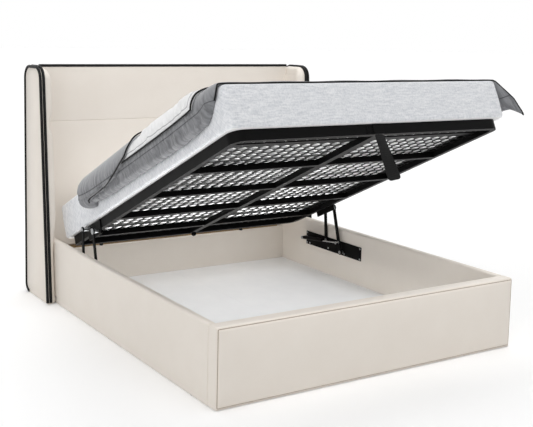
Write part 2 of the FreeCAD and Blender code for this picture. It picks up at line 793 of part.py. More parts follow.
half_bar = "frame_inner_x - beam_wide / 2"
for side, sign in SIDES:
    for i, share in enumerate(BAR_SHARES):
        bars.append(hollow(
            f"{side}_bar_{i}", (half_bar, "bar_wide", "bar_high"),
            (
                side_x(sign, "beam_wide / 2", half_bar),
                f"-bay_head - bay_long * {share} - bar_wide / 2", "-tube_high",
            ), 0,
        ))
    bars.append(block(
        f"{side}_foot_strip", (half_bar, "foot_strip_wide", "foot_strip_thick"),
        (
            side_x(sign, "beam_wide / 2", half_bar),
            "-foot_strip_along - foot_strip_wide / 2", "mesh_z - foot_strip_thick",
        ),
    ))
node("cross_bars", on_platform(group("bar_group", bars)))
lug_z = "-tube_high - lug_drop"
lug = join(
    "lug_join",
    bar("lug_round", "lug_radius", "lug_thick", ("0", "-bay_head - lug_thick", lug_z), "y"),
    bar("lug_bolt_tip", "lug_bolt_radius", "lug_thick + 2 * lug_bolt_head",
        ("0", "-bay_head - lug_thick - lug_bolt_head", lug_z), "y"),
)
lug_above = block(
    "lug_above", ("2 * lug_radius", "3 * lug_thick", "lug_radius"),
    ("-lug_radius", "-bay_head - 2 * lug_thick", "-tube_high"),
)
node("beam_lug", on_platform(cut("lug_cut", lug, lug_above)))


def mesh_half(sign):
    """Expanded steel mesh beside the centre line: one face with six-sided gaps, thickened.

    Its outer corners are round, so that it fits inside the bends of the rim."""
    far = d.frame_inner_x
    head = -d.bay_head
    foot = -d.bay_foot
    bend = d.rim_corner - d.tube_wide
    inward = bend * (1 - math.sqrt(0.5))
    column = (far - 2 * d.mesh_border) / MESH_COLUMNS
    line = (head - foot - 2 * d.mesh_border) / MESH_ROWS
    half_wide = column / 2 - d.mesh_strand / 4
    half_long = (line - d.mesh_strand) / 2
    flat = half_wide * MESH_FLAT_SHARE

    def point(x, y):
        return FreeCAD.Vector(x * sign, y, d.mesh_z)

    head_bend = (point(far - bend, head), point(far - inward, head - inward), point(far, head - bend))
    foot_bend = (point(far, foot + bend), point(far - inward, foot + inward), point(far - bend, foot))
    outline = Part.Wire([
        Part.makeLine(point(0, foot), point(0, head)),
        Part.makeLine(point(0, head), head_bend[0]),
        Part.Arc(*head_bend).toShape(),
        Part.makeLine(head_bend[2], foot_bend[0]),
        Part.Arc(*foot_bend).toShape(),
        Part.makeLine(foot_bend[2], point(0, foot)),
    ])
    gaps = []
    for i in range(MESH_COLUMNS):
        for j in range(MESH_ROWS):
            x = d.mesh_border + (i + 0.5) * column
            y = foot + d.mesh_border + (j + 0.5) * line
            ring = [
                point(x - half_wide, y), point(x - flat, y - half_long), point(x + flat, y - half_long),
                point(x + half_wide, y), point(x + flat, y + half_long), point(x - flat, y + half_long),
            ]
            gaps.append(Part.makePolygon(ring + ring[:1]))
    holed = Part.Face([outline] + gaps)
    holed.validate()
    return holed.extrude(FreeCAD.Vector(0, 0, d.mesh_thick))


for side, sign in SIDES:
    node(f"{side}_mesh", on_platform(feature(f"{side}_mesh_form", mesh_half(sign))))

# Lift brackets on the side tubes and their pivot pins
platform_pins = []
for side, sign in SIDES:
    node(f"{side}_lift_bracket", on_platform(group(f"{side}_bracket_group", [block(
        f"{side}_bracket_box", ("bracket_thick", "bracket_far - bracket_near", "bracket_low - bracket_top"),
        (side_x(sign, "frame_x", "bracket_thick"), "-bracket_far", "-bracket_low"),
    )])))
    for pivot, radius, head_radius in (
        ("rear", "pin_radius", "collar_radius"),
        ("front", "open_pin_radius", "open_washer_radius"),
    ):
        along = f"{pivot}_top_along"
        below = f"{pivot}_top_below"
        near = f"{pivot}_arm_x"
        close = f"{near} - side_clearance"
        far = f"{near} + arm_thick + side_clearance"
        platform_pins.append(join(
            f"{side}_{pivot}_platform_pin",
            bar(f"{side}_{pivot}_post", "collar_radius", f"{close} - bracket_x",
                (side_x(sign, "bracket_x", f"{close} - bracket_x"), f"-{along}", f"-{below}")),
            bar(f"{side}_{pivot}_flange", head_radius, "pin_head",
                (side_x(sign, f"{close} - pin_head", "pin_head"), f"-{along}", f"-{below}")),
            bar(f"{side}_{pivot}_stub", radius, "arm_thick + 2 * side_clearance",
                (side_x(sign, close, "arm_thick + 2 * side_clearance"), f"-{along}", f"-{below}")),
            bar(f"{side}_{pivot}_washer", head_radius, "pin_head",
                (side_x(sign, far, "pin_head"), f"-{along}", f"-{below}")),
        ))
node("platform_pivot_pins", on_platform(group("platform_pin_group", platform_pins)))

# Rests that carry the closed platform: rubber buffers on the head panel and on brackets at the foot
buffers = []
rests = []
for i, share in enumerate(REST_SHARES):
    buffers.append(bar(
        f"head_buffer_{i}", "buffer_radius * 0.8", "buffer_high",
        (f"2 * inner_x * {share} * 0.6", "panel_y + head_panel_thick / 2", "panel_top"), "z",
    ))
    shelf_z = "panel_top - rest_thick"
    rest_x = f"2 * inner_x * {share} * 0.6 - rest_wide / 2"
    rests.append(join(
        f"rest_join_{i}",
        block(f"rest_shelf_{i}", ("rest_wide", "rest_deep", "rest_thick"), (rest_x, "store_y", shelf_z)),
        block(
            f"rest_back_{i}", ("rest_wide", "rest_thick", "rest_deep"),
            (rest_x, "store_y", f"{shelf_z} - rest_deep"),
        ),
    ))
    buffers.append(bar(
        f"foot_buffer_{i}", "buffer_radius", "buffer_high",
        (f"2 * inner_x * {share} * 0.6", "store_y + rest_deep - 1.4 * buffer_radius", "panel_top"), "z",
    ))
node("rest_buffers", group("buffer_group", buffers))
node("foot_rests", group("rest_group", rests))

# Pull strap at the foot: an end held on the foot tube by a riveted clip, and a tail that swings below it
strap_x = "strap_offset - strap_wide / 2"
strap_y = "-frame_foot - clip_thick - strap_thick"
strap_turn = "-tube_high - strap_gap - strap_thick / 2"
tail = join(
    "strap_tail_join",
    block(
        "strap_tail_web", ("strap_wide", "strap_thick", "strap_tail"),
        (strap_x, strap_y, f"{strap_turn} - strap_tail"),
    ),
    bar(
        "strap_tail_fold", "strap_thick / 2", "strap_wide",
        (strap_x, f"{strap_y} + strap_thick / 2", strap_turn), "x",
    ),
)
tail_soft = rounded(
    "strap_tail_end", tail, d.strap_round,
    lambda edge: along_y(edge) and edge.CenterOfMass.z < -d.tube_high - d.strap_tail / 2,
)
node("pull_strap", on_platform(tail_soft))
anchor = block(
    "strap_anchor", ("strap_wide", "strap_thick", "tube_high - strap_top"), (strap_x, strap_y, "-tube_high")
)
clip_low = "-(tube_high + clip_high) / 2"
clip = block(
    "strap_clip_plate", ("clip_wide", "clip_thick", "clip_high"),
    ("strap_offset + strap_wide / 2 - clip_wide", "-frame_foot - clip_thick", clip_low),
)
rivets = [clip, anchor]
for i, share in enumerate((0.25, 0.75)):
    rivets.append(bar(
        f"strap_rivet_{i}", "rivet_radius", "rivet_head",
        (
            "strap_offset + strap_wide / 2 - clip_wide * 0.83",
            "-frame_foot - clip_thick - rivet_head", f"{clip_low} + clip_high * {share}",
        ), "y",
    ))
node("strap_clip", on_platform(group("strap_clip_group", rivets)))

# Mattress: a hollow shell of quilted ticking and foam
slab = block(
    "mattress_slab", ("mattress_wide", "mattress_long", "mattress_thick"),
    ("-mattress_wide / 2", "-mattress_long", "0"),
)
slab_corners = rounded("mattress_corners", slab, d.mattress_corner, along_z)
slab_soft = rounded(
    "mattress_edges", slab_corners, d.mattress_edge,
    lambda edge: abs(edge.BoundBox.ZLength) < d.mattress_edge / 2,
)
void = block(
    "mattress_void",
    (
        "mattress_wide - 2 * (mattress_shell + mattress_edge)",
        "mattress_long - 2 * (mattress_shell + mattress_edge)",
        "mattress_thick - 2 * mattress_shell",
    ),
    (
        "mattress_shell + mattress_edge - mattress_wide / 2",
        "mattress_shell + mattress_edge - mattress_long",
        "mattress_shell",
    ),
)
node("mattress", on_platform(cut("mattress_cut", slab_soft, void)))

# Comforter: a hollow cover with an airy filling, drawn over the mattress, with a puffed drop on each
# side that falls in shallow folds
FOLD_SHARES = ((0.0, 0.55), (0.18, 1.0), (0.36, 0.82), (0.55, 1.0), (0.75, 0.85), (1.0, 0.7))


def comforter_section(along_share, drop_share):
    """Outline of the comforter across the bed, at a share of its length and with a share of its drops."""
    y = -d.comforter_head - (d.comforter_foot - d.comforter_head) * along_share
    lie = d.mattress_wide / 2 + d.quilt_clear
    top = d.mattress_thick + d.quilt_clear
    thick = d.comforter_thick
    left_low = top - d.left_drop * drop_share
    right_low = top - d.right_drop * drop_share
    puff = d.drop_fold * drop_share
    points = [
        (-lie - thick * 0.5, left_low), (-lie - thick - puff, (left_low + top) / 2),
        (-lie - thick * 0.5, top + thick * 0.7), (-lie + thick * 1.5, top + thick),
        (lie - thick * 1.5, top + thick), (lie + thick * 0.5, top + thick * 0.7),
        (lie + thick + puff, (right_low + top) / 2), (lie + thick * 0.5, right_low),
        (lie, right_low + thick * 0.3), (lie, top), (-lie, top), (-lie, left_low + thick * 0.3),
    ]
    ring = [FreeCAD.Vector(x, y, z) for x, z in points]
    return Part.makePolygon(ring + ring[:1])


comforter = Part.makeLoft([comforter_section(*shares) for shares in FOLD_SHARES], True, True)
inset = d.comforter_thick * 1.5
filling = Part.makeBox(
    d.mattress_wide - 2 * inset,
    d.comforter_foot - d.comforter_head - 2 * inset,
    d.comforter_thick - 2 * d.comforter_ticking,
    FreeCAD.Vector(
        inset - d.mattress_wide / 2,
        inset - d.comforter_foot,
        d.mattress_thick + d.quilt_clear + d.comforter_ticking,
    ),
)
node("comforter", on_platform(feature("comforter_form", comforter.cut(filling))))

# White quilt on top: a low cushion whose crown runs across the bed
QUILT_SHARES = ((0.02, 0.45), (0.15, 0.9), (0.5, 1.0), (0.85, 0.9), (0.98, 0.45))


def quilt_section(along_share, crown_share):
    """Outline of the quilt across the bed: flat below, an arc above."""
    y = -d.comforter_head - (d.comforter_foot - d.comforter_head) * along_share
    low = d.mattress_thick + d.comforter_thick + 2 * d.quilt_clear
    high = low + d.quilt_thick * crown_share
    left = FreeCAD.Vector(-d.quilt_left, y, low)
    right = FreeCAD.Vector(d.quilt_right, y, low)
    crown = FreeCAD.Vector((d.quilt_right - d.quilt_left) / 2, y, high)
    return Part.Wire([Part.Arc(left, crown, right).toShape(), Part.makeLine(right, left)])


quilt = Part.makeLoft([quilt_section(*shares) for shares in QUILT_SHARES], True, False)
node("white_quilt", on_platform(feature("white_quilt_form", quilt)))

doc.recompute()
failed = [thing.Label for thing in doc.Objects if {"Invalid", "Error"} & set(thing.State)]
failed += [thing.Label for thing in NODES if thing.Shape.isNull() or not thing.Shape.isValid()]
if failed:
    raise RuntimeError("failed: " + ", ".join(failed))
os.makedirs("parts", exist_ok=True)
for thing in NODES:
    thing.Shape.exportStep(os.path.join("parts", thing.Label + ".step"))
    print(thing.Label, len(thing.Shape.Solids), round(thing.Shape.Volume / 1e6, 4))
print(len(NODES), "nodes")
for name in ("rear_pivot_y", "front_pivot_y", "rear_top_y", "rear_top_z", "front_top_y", "front_top_z",
             "rear_arm_turn", "front_arm_turn", "strut_low_y", "strut_top_y", "strut_top_z", "strut_turn"):
    print(name, getattr(d, name))
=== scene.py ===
import json
import math

import bpy
import numpy as np
from mathutils import Matrix, Vector

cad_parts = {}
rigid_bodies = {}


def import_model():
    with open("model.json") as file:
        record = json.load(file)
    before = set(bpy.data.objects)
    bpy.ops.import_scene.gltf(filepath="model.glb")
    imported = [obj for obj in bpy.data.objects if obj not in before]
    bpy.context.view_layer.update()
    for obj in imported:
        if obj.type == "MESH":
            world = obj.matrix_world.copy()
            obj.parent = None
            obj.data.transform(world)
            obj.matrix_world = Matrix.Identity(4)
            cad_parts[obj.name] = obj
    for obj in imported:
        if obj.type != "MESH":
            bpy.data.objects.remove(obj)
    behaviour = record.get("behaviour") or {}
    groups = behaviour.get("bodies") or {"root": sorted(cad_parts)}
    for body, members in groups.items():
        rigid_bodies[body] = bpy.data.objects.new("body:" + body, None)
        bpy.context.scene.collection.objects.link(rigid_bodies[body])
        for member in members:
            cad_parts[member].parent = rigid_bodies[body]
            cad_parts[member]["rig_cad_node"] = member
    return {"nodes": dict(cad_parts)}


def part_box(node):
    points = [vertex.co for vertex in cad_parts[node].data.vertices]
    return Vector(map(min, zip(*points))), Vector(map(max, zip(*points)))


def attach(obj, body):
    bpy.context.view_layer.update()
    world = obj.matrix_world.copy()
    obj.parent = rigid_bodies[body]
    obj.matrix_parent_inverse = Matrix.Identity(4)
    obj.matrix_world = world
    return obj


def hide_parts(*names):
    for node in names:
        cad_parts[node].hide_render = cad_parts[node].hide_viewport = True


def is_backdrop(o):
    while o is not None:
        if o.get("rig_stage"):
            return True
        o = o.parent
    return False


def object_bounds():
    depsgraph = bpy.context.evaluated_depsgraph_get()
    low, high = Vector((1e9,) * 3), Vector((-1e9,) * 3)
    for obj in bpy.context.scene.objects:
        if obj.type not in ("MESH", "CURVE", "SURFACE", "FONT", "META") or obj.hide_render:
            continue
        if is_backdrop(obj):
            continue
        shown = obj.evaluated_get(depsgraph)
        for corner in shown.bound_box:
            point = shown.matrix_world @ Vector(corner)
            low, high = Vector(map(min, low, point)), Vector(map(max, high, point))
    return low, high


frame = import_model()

for spare in list(bpy.data.objects):
    if spare.type in {"MESH", "LIGHT", "CAMERA"} and "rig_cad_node" not in spare:
        bpy.data.objects.remove(spare)
cad_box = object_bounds()

# Storage floor: two white melamine boards that lie on softwood battens and a middle beam, over a
# room floor that the whole box clears by the height of its nylon glides.


def linear(code):
    """sRGB hex to linear RGBA.

    A channel under 0.04045 is divided by 12.92, and any other is ((c + 0.055) / 1.055) ^ 2.4."""
    c = np.array([int(code[i:i + 2], 16) for i in (1, 3, 5)]) / 255
    c = np.where(c < 0.04045, c / 12.92, ((c + 0.055) / 1.055) ** 2.4)
    return (*map(float, c), 1.0)


def add_node(tree, kind, inputs=None, **settings):
    """Adds one shader node: settings are its properties, and an input takes a value or another output."""
    node = tree.nodes.new(kind)
    for key, value in settings.items():
        setattr(node, key, value)
    for key, value in (inputs or {}).items():
        if isinstance(value, bpy.types.NodeSocket):
            tree.links.new(value, node.inputs[key])
        else:
            node.inputs[key].default_value = value
    return node


def new_material(name, **sockets):
    """A material with one Principled shader, whose sockets are named with _ for a space.

    It comes with its node tree, its shader and the place on the piece that its patterns read."""
    material = bpy.data.materials.new(name)
    material.use_nodes = True
    tree = material.node_tree
    shader = tree.nodes["Principled BSDF"]
    for key, value in sockets.items():
        shader.inputs[key.replace("_", " ")].default_value = value
    return material, tree, shader, add_node(tree, "ShaderNodeTexCoord").outputs["Object"]


def mottled(name, low, high, size, detail=3.0, **sockets):
    """A material whose colour runs between two hex values with noise, in patches of a size in metres."""
    material, tree, shader, place = new_material(name, **sockets)
    cloud = add_node(tree, "ShaderNodeTexNoise", {"Vector": place, "Scale": 1 / size, "Detail": detail})
    colours = {0: cloud.outputs["Fac"], 6: linear(low), 7: linear(high)}
    tone = add_node(tree, "ShaderNodeMix", colours, data_type="RGBA")
    tree.links.new(tone.outputs[2], shader.inputs["Base Color"])
    return material, tree, shader, place, cloud


def coat_nodes(material, *names):
    """Gives a finish to nodes that keep the shape they have in the frame."""
    for name in names:
        for slot in frame["nodes"][name].material_slots:
            slot.material = material


# Melamine faced board, pressed smooth: a clean cool white with the faintest cloud and a satin shine.
melamine = mottled("white melamine board", "#E9EAEB", "#F3F3F3", 0.12, 4.0, Roughness=0.42, IOR=1.5)[0]
coat_nodes(melamine, "left_floor_panel", "right_floor_panel")

# Sawn softwood: pale yellow brown, with long grain streaks about 6 mm apart along the stick.
softwood, tree, shader, place = new_material("sawn softwood", Roughness=0.7, IOR=1.5)
along = add_node(tree, "ShaderNodeMapping", {"Vector": place, "Scale": (1 / 0.006, 1 / 0.25, 1 / 0.006)})
grain = add_node(tree, "ShaderNodeTexNoise", {"Vector": along.outputs[0], "Scale": 1.0, "Detail": 5.0})
grain = grain.outputs["Fac"]
colours = {0: grain, 6: linear("#B98F5E"), 7: linear("#DDBB8A")}
tone = add_node(tree, "ShaderNodeMix", colours, data_type="RGBA")
tree.links.new(tone.outputs[2], shader.inputs["Base Color"])
bump = add_node(tree, "ShaderNodeBump", {"Height": grain, "Strength": 0.3, "Distance": 0.0006})
tree.links.new(bump.outputs[0], shader.inputs["Normal"])
coat_nodes(softwood, "floor_battens", "floor_beam")

# Moulded nylon: dark grey, with a fine spark texture that leaves it half matt.
nylon, tree, shader, place = new_material(
    "moulded nylon", Base_Color=linear("#2B2A29"), Roughness=0.5, IOR=1.53
)
spark = add_node(tree, "ShaderNodeTexNoise", {"Vector": place, "Scale": 1 / 0.002, "Detail": 2.0})
rough = {"Height": spark.outputs["Fac"], "Strength": 0.2, "Distance": 0.0003}
bump = add_node(tree, "ShaderNodeBump", rough)
tree.links.new(bump.outputs[0], shader.inputs["Normal"])
coat_nodes(nylon, "glides")

# Boards inside the upholstery: chipboard rails, foot, headboard and wings, cut and screwed together
# before the covers go on. They only show where a cover stops.

# Chipboard: light brown chips a few millimetres long, pressed flat.
chipboard, tree, shader, place = new_material("chipboard", Roughness=0.75, IOR=1.5)
chips = add_node(tree, "ShaderNodeTexVoronoi", {"Vector": place, "Scale": 1 / 0.005})
colours = {0: chips.outputs["Color"], 6: linear("#A98A62"), 7: linear("#CDB088")}
tone = add_node(tree, "ShaderNodeMix", colours, data_type="RGBA")
tree.links.new(tone.outputs[2], shader.inputs["Base Color"])
coat_nodes(
    chipboard, "left_rail_board", "right_rail_board", "foot_board", "headboard_core", "left_wing_core",
    "right_wing_core",
)

# Side rails: a chipboard rail under thin foam, wrapped in cream faux leather that is pulled over the
# top and stapled below. The top edge is soft and the faces swell a little between the edges.
RAIL_EDGE = 0.011
RAIL_END = 0.004
RAIL_SWELL = 0.0012
COVER_FOOT = 0.002


def arc(centre, radius, angle):
    """Points on a circle: its centre plus the radius times the cosine and the sine of each angle."""
    return np.array(centre) + radius * np.stack((np.cos(angle), np.sin(angle)), 1)


def ring(wide, high, radius, corner=6, side=10):
    """Closed outline of a rounded rectangle at the origin: four quarter circles joined by straight sides."""
    turn = np.linspace(0, math.pi / 2, corner + 1)
    wide, high = wide / 2 - radius, high / 2 - radius
    centres = ((wide, high), (-wide, high), (-wide, -high), (wide, -high))
    parts = [arc(centre, radius, turn + k * math.pi / 2) for k, centre in enumerate(centres)]
    share = np.linspace(0, 1, side + 1)[1:-1, None]
    pairs = zip(parts, parts[1:] + parts[:1])
    return np.concatenate([np.concatenate((p, p[-1] + (q[0] - p[-1]) * share)) for p, q in pairs])


def grid_faces(rows, cols, wrap):
    """Quads between neighbours in a grid of points numbered row by row, closed round its rows if wrap."""
    i, j = np.meshgrid(np.arange(rows - 1), np.arange(cols if wrap else cols - 1), indexing="ij")
    k = (j + 1) % cols
    quads = np.stack((i * cols + j, i * cols + k, (i + 1) * cols + k, (i + 1) * cols + j), -1)
    return quads.reshape(-1, 4)


def placed(name, data):
    """An object for a mesh, a lamp or a camera, linked to the scene at the origin."""
    item = bpy.data.objects.new(name, data)
    bpy.context.scene.collection.objects.link(item)
    return item


def new_piece(name, points, faces, caps=(), uv=None, smooth=True):
    """A mesh of points, quads and end caps, turned outwards by the sign of its volume.

    The volume is a sixth of the sum over triangles of one corner dotted with the cross of the other two."""
    points = np.asarray(points, float).reshape(-1, 3)
    quads = np.asarray(faces).reshape(-1, 4)
    a, b, c, e = (points[quads[:, k]] for k in range(4))
    volume = np.einsum("ij,ij->", a, np.cross(b, c)) + np.einsum("ij,ij->", a, np.cross(c, e))
    for cap in caps:
        p = points[np.asarray(cap)]
        volume += np.einsum("ij,ij->", np.broadcast_to(p[0], p[1:-1].shape), np.cross(p[1:-1], p[2:]))
    turn = slice(None, None, -1) if volume < 0 else slice(None)
    mesh = bpy.data.meshes.new(name)
    mesh.from_pydata(points.tolist(), [], quads[:, turn].tolist() + [list(cap)[turn] for cap in caps])
    if uv is not None:
        corners = np.empty(len(mesh.loops), int)
        mesh.loops.foreach_get("vertex_index", corners)
        layer = mesh.uv_layers.new(name="cloth")
        layer.data.foreach_set("uv", np.asarray(uv, np.float32).reshape(-1, 2)[corners].ravel())
    mesh.polygons.foreach_set("use_smooth", np.full(len(mesh.polygons), smooth))
    mesh.update()
    return placed(name, mesh)


def loft(name, rings, smooth=True):
    """A closed skin through rings of equally many points, with a flat cap on the first and on the last."""
    rings = np.asarray(rings, float)
    rows, cols = rings.shape[:2]
    caps = (np.arange(cols)[::-1].tolist(), (np.arange(cols) + (rows - 1) * cols).tolist())
    return new_piece(name, rings, grid_faces(rows, cols, True), caps, smooth=smooth)


def end_steps(low, high, radius, steps=5, middle=24):
    """Places along a bar and their inset: a quarter circle in, a straight run and a quarter circle out."""
    turn = np.linspace(0, math.pi / 2, steps)
    bend = radius * (1 - np.sin(turn[::-1]))
    run = np.linspace(low + radius, high - radius, middle)[1:-1]
    inset = radius * (1 - np.cos(turn))
    return (
        np.concatenate((low + bend, run, high - bend[::-1])),
        np.concatenate((inset[::-1], np.zeros(len(run)), inset)),
    )


def cover_bar(name, low, high, axis, edge, end, swell):
    """A covered bar: a rounded rectangle with swollen faces, carried along an axis and softened at its ends.

    Its two lower corners are drawn towards their tips, to a quarter of the radius."""
    low, high = np.array(low), np.array(high)
    across = [k for k in range(3) if k != axis]
    middle, size = (low + high) / 2, high - low
    at, inset = end_steps(low[axis], high[axis], end)
    flat = ring(size[across[0]], size[across[1]], edge)
    tip = np.sign(flat) * size[across] / 2
    lower = (np.abs(tip - flat) < edge).all(1) & (flat[:, 1] < 0)
    flat = np.where(lower[:, None], tip + (flat - tip) / 4, flat)
    share = flat / (size[across] / 2)
    bow = swell * np.sign(share) * (np.abs(share) > 0.9) * (1 - np.abs(share[:, ::-1]) ** 2.5)
    rings = np.empty((len(at), len(flat), 3))
    shrink = 1 - 2 * inset[:, None] / size[across]
    section = (flat + bow)[None] * shrink[:, None, :]
    rings[..., across] = section + middle[across]
    rings[..., axis] = at[:, None]
    return loft(name, rings)


# Faux leather, coated on a knit and embossed with a fine pebble grain: warm cream with a soft satin
# shine. The real grain is under 1 mm, so it is drawn at 3 mm to show, with clouds a hand wide.
leather, tree, shader, place, cloud = mottled(
    "cream faux leather", "#E6DED4", "#ECE5DC", 0.15, Roughness=0.52, IOR=1.48, Sheen_Weight=0.12,
    Sheen_Roughness=0.45, Specular_IOR_Level=0.42,
)
cloud.inputs["Roughness"].default_value = 0.55
pebble = add_node(tree, "ShaderNodeTexVoronoi", {"Vector": place, "Scale": 1 / 0.003}, feature="SMOOTH_F1")
waver = add_node(tree, "ShaderNodeTexNoise", {"Vector": place, "Scale": 1 / 0.09, "Detail": 2.0})
bump = add_node(tree, "ShaderNodeBump", {"Height": waver.outputs["Fac"], "Strength": 0.25, "Distance": 0.004})
grain = {"Height": pebble.outputs["Distance"], "Normal": bump.outputs[0]}
bump = add_node(tree, "ShaderNodeBump", {**grain, "Strength": 0.12, "Distance": 0.0006})
tree.links.new(bump.outputs[0], shader.inputs["Normal"])

for side in ("left", "right"):
    low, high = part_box(f"{side}_rail_cover")
    rail = cover_bar(
        f"{side}_rail_upholstery", (low[0], low[1], COVER_FOOT), high, 1, RAIL_EDGE, RAIL_END, RAIL_SWELL
    )
    rail.data.materials.append(leather)
    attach(rail, "base")
    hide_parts(f"{side}_rail_cover")

# Foot rail: a deep framed board under the same faux leather. Its front has a sewn-in panel over
# thicker foam, joined to the wrap by a seam close to the edges, so the panel puffs up inside it.
FOOT_EDGE = 0.010
FOOT_END = FOOT_EDGE * 0.7
FOOT_SEAM = 0.009
FOOT_PUFF = 0.0095
FOOT_CROWN = 0.0035
FOOT_SUNK = 0.001
SEAM_RADIUS = 0.0022
SEAM_BEND = 0.004
SEAM_PROUD = 0.0005
low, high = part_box("foot_cover")
foot_front = low[1] + FOOT_PUFF
foot = cover_bar(
    "foot_rail_upholstery", (low[0], foot_front, COVER_FOOT), high, 0, FOOT_EDGE, FOOT_END, RAIL_SWELL * 0.5
)
foot.data.materials.append(leather)
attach(foot, "base")
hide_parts("foot_cover")


def pillow(name, face, rear, uv=None):
    """A closed cover of two grids of points, a face and a rear, which share the face's rim.

    A grid of places on the cloth, in metres, goes into its UV map, the same for face and rear."""
    rows, cols = face.shape[:2]
    index = np.arange(rows * cols).reshape(rows, cols)
    index[1:-1, 1:-1] = rows * cols + np.arange((rows - 2) * (cols - 2)).reshape(rows - 2, cols - 2)
    quads = grid_faces(rows, cols, False)
    points = np.concatenate((face.reshape(-1, 3), rear[1:-1, 1:-1].reshape(-1, 3)))
    if uv is not None:
        uv = np.concatenate((uv.reshape(-1, 2), uv[1:-1, 1:-1].reshape(-1, 2)))
    return new_piece(name, points, np.concatenate((quads, index.ravel()[quads][:, ::-1])), uv=uv)


def rounded(distance, radius):
    """Height share of a quarter circle that starts upright at an edge and is level at a radius from it."""
    return np.sqrt(np.clip(1 - (1 - np.clip(distance / radius, 0, 1)) ** 2, 0, 1))


def crowned_panel(name, low, high, front, edge, crown, back, cols=64, rows=36):
    """A sewn panel that faces -Y: a grid across X and Z whose front stands up from its seam.

    Its height over the back is a quarter circle of the edge's radius, plus a crown that falls with the
    fourth power of each share across, and the back is flat."""
    u = np.sin(np.linspace(-1, 1, cols) * math.pi / 2)
    v = np.sin(np.linspace(-1, 1, rows) * math.pi / 2)
    u, v = np.meshgrid(u, v, indexing="ij")
    half = (np.array(high) - np.array(low)) / 2
    middle = (np.array(high) + np.array(low)) / 2
    rim = np.minimum((1 - np.abs(u)) * half[0], (1 - np.abs(v)) * half[1])
    lift = (back - front - crown) * rounded(rim, edge) + crown * (1 - u ** 4) * (1 - v ** 4)
    x, z = middle[0] + u * half[0], middle[1] + v * half[1]
    return pillow(name, np.stack((x, back - lift, z), -1), np.stack((x, np.full(u.shape, back), z), -1))


panel = crowned_panel(
    "foot_front_panel", (low[0] + FOOT_SEAM, COVER_FOOT + FOOT_SEAM),
    (high[0] - FOOT_SEAM, high[2] - FOOT_SEAM), low[1], FOOT_EDGE, FOOT_CROWN, foot_front + FOOT_SUNK,
)
panel.data.materials.append(leather)
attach(panel, "base")
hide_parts("foot_pad")


def tube(name, path, radius):
    """A round cord sewn along a path: a circle carried along it without twist, with closed ends."""
    curve = bpy.data.curves.new(name, "CURVE")
    curve.dimensions = "3D"
    curve.bevel_depth = radius
    curve.bevel_resolution = 2
    curve.use_fill_caps = True
    spline = curve.splines.new("POLY")
    spline.points.add(len(path) - 1)
    spline.points.foreach_set("co", np.concatenate((path, np.ones((len(path), 1))), 1).ravel())
    guide = bpy.data.objects.new(name, curve)
    mesh = bpy.data.meshes.new_from_object(guide)
    bpy.data.objects.remove(guide)
    bpy.data.curves.remove(curve)
    mesh.polygons.foreach_set("use_smooth", np.ones(len(mesh.polygons), bool))
    return placed(name, mesh)


# A thin cord round the front panel in its seam, which carries the painted seam shade.
loop = ring(high[0] - low[0] - 2 * FOOT_SEAM, high[2] - COVER_FOOT - 2 * FOOT_SEAM, SEAM_BEND, 4, 40)
loop = np.concatenate((loop, loop[:1])) + ((low[0] + high[0]) / 2, (COVER_FOOT + high[2]) / 2)
path = np.stack((loop[:, 0], np.full(len(loop), foot_front - SEAM_PROUD), loop[:, 1]), 1)
seam_shade_cord = tube("foot_panel_seam_shade", path, SEAM_RADIUS)

# Painted seam shade: the cream faux leather darkened to a dull brown line, on a cord laid in the panel's
# seam.
seam_shade_leather = mottled("seam shade faux leather", "#9C8C7D", "#B3A494", 0.02, Roughness=0.7, IOR=1.48)[0]
seam_shade_cord.data.materials.append(seam_shade_leather)
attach(seam_shade_cord, "base")

# Head panel of the storage box: a board in the same faux leather, set between the rails under the
# platform's head end and screwed to them.
HEAD_EDGE, HEAD_END, HEAD_SWELL = 0.005, 0.002, 0.0006
low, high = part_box("head_panel")
head_panel = cover_bar("head_panel_upholstery", low, high, 0, HEAD_EDGE, HEAD_END, HEAD_SWELL)
head_panel.data.materials.append(leather)
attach(head_panel, "base")
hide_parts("head_panel")

# Headboard: two foam pads in faux leather on a framed board, drawn together at one level seam, and a
# flat sheet that covers the back and folds over the top.
PAD_EDGE = 0.004
PAD_CROWN = 0.006
PAD_JOIN = 0.0030
PAD_FOOT = 0.270
PAD_TOP = 1.345
for name in ("headboard_lower_pad", "headboard_upper_pad"):
    low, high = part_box(name)
    foot_level = low[2] if "upper" in name else PAD_FOOT
    pad = crowned_panel(
        name + "_upholstery", (low[0], foot_level - PAD_JOIN), (high[0], min(high[2] + PAD_JOIN, PAD_TOP)),
        low[1], PAD_EDGE, PAD_CROWN, high[1], 96, 48,
    )
    pad.data.materials.append(leather)
    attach(pad, "base")
    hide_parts(name)

BACK_THICK = 0.010
BACK_BEND = 0.009
low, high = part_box("headboard_back_cover")
turn = np.linspace(0, math.pi / 2, 8)
outside = np.stack((high[1] - BACK_BEND * (1 - np.cos(turn)), high[2] - BACK_BEND * (1 - np.sin(turn))), 1)
inside = np.array([
    (low[1], high[2]), (low[1], high[2] - BACK_THICK), (high[1] - BACK_THICK, high[2] - BACK_THICK),
    (high[1] - BACK_THICK, low[2]), (high[1], low[2]),
])
profile = np.concatenate((outside, inside))
at = np.linspace(low[0], high[0], 40)
rings = np.empty((len(at), len(profile), 3))
rings[..., 0] = at[:, None]
rings[..., 1:] = profile
back = loft("headboard_back_upholstery", rings, smooth=False)
back.data.materials.append(leather)
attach(back, "base")
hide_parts("headboard_back_cover")

# Wings: boards that stand from the floor beside the headboard, deeper below than above, with round
# upper corners and a round heel. The inner side is padded and the outer side is flat.
WING_FRONT_LOW = 0.350
WING_FRONT_HIGH = 0.244
WING_CORNER = 0.070
WING_HEEL = 0.045
WING_EDGE = 0.003
WING_BAND = 0.022
WING_GROOVE = 0.004
WING_STEP = 0.0015
WING_ROUND = 0.026
WING_PUFF = 0.020
WING_HIDDEN = (0.003, 0.050)
PUFF_START = 0.30
SEAM_LEVEL = 1.022
SEAM_PINCH = 0.045


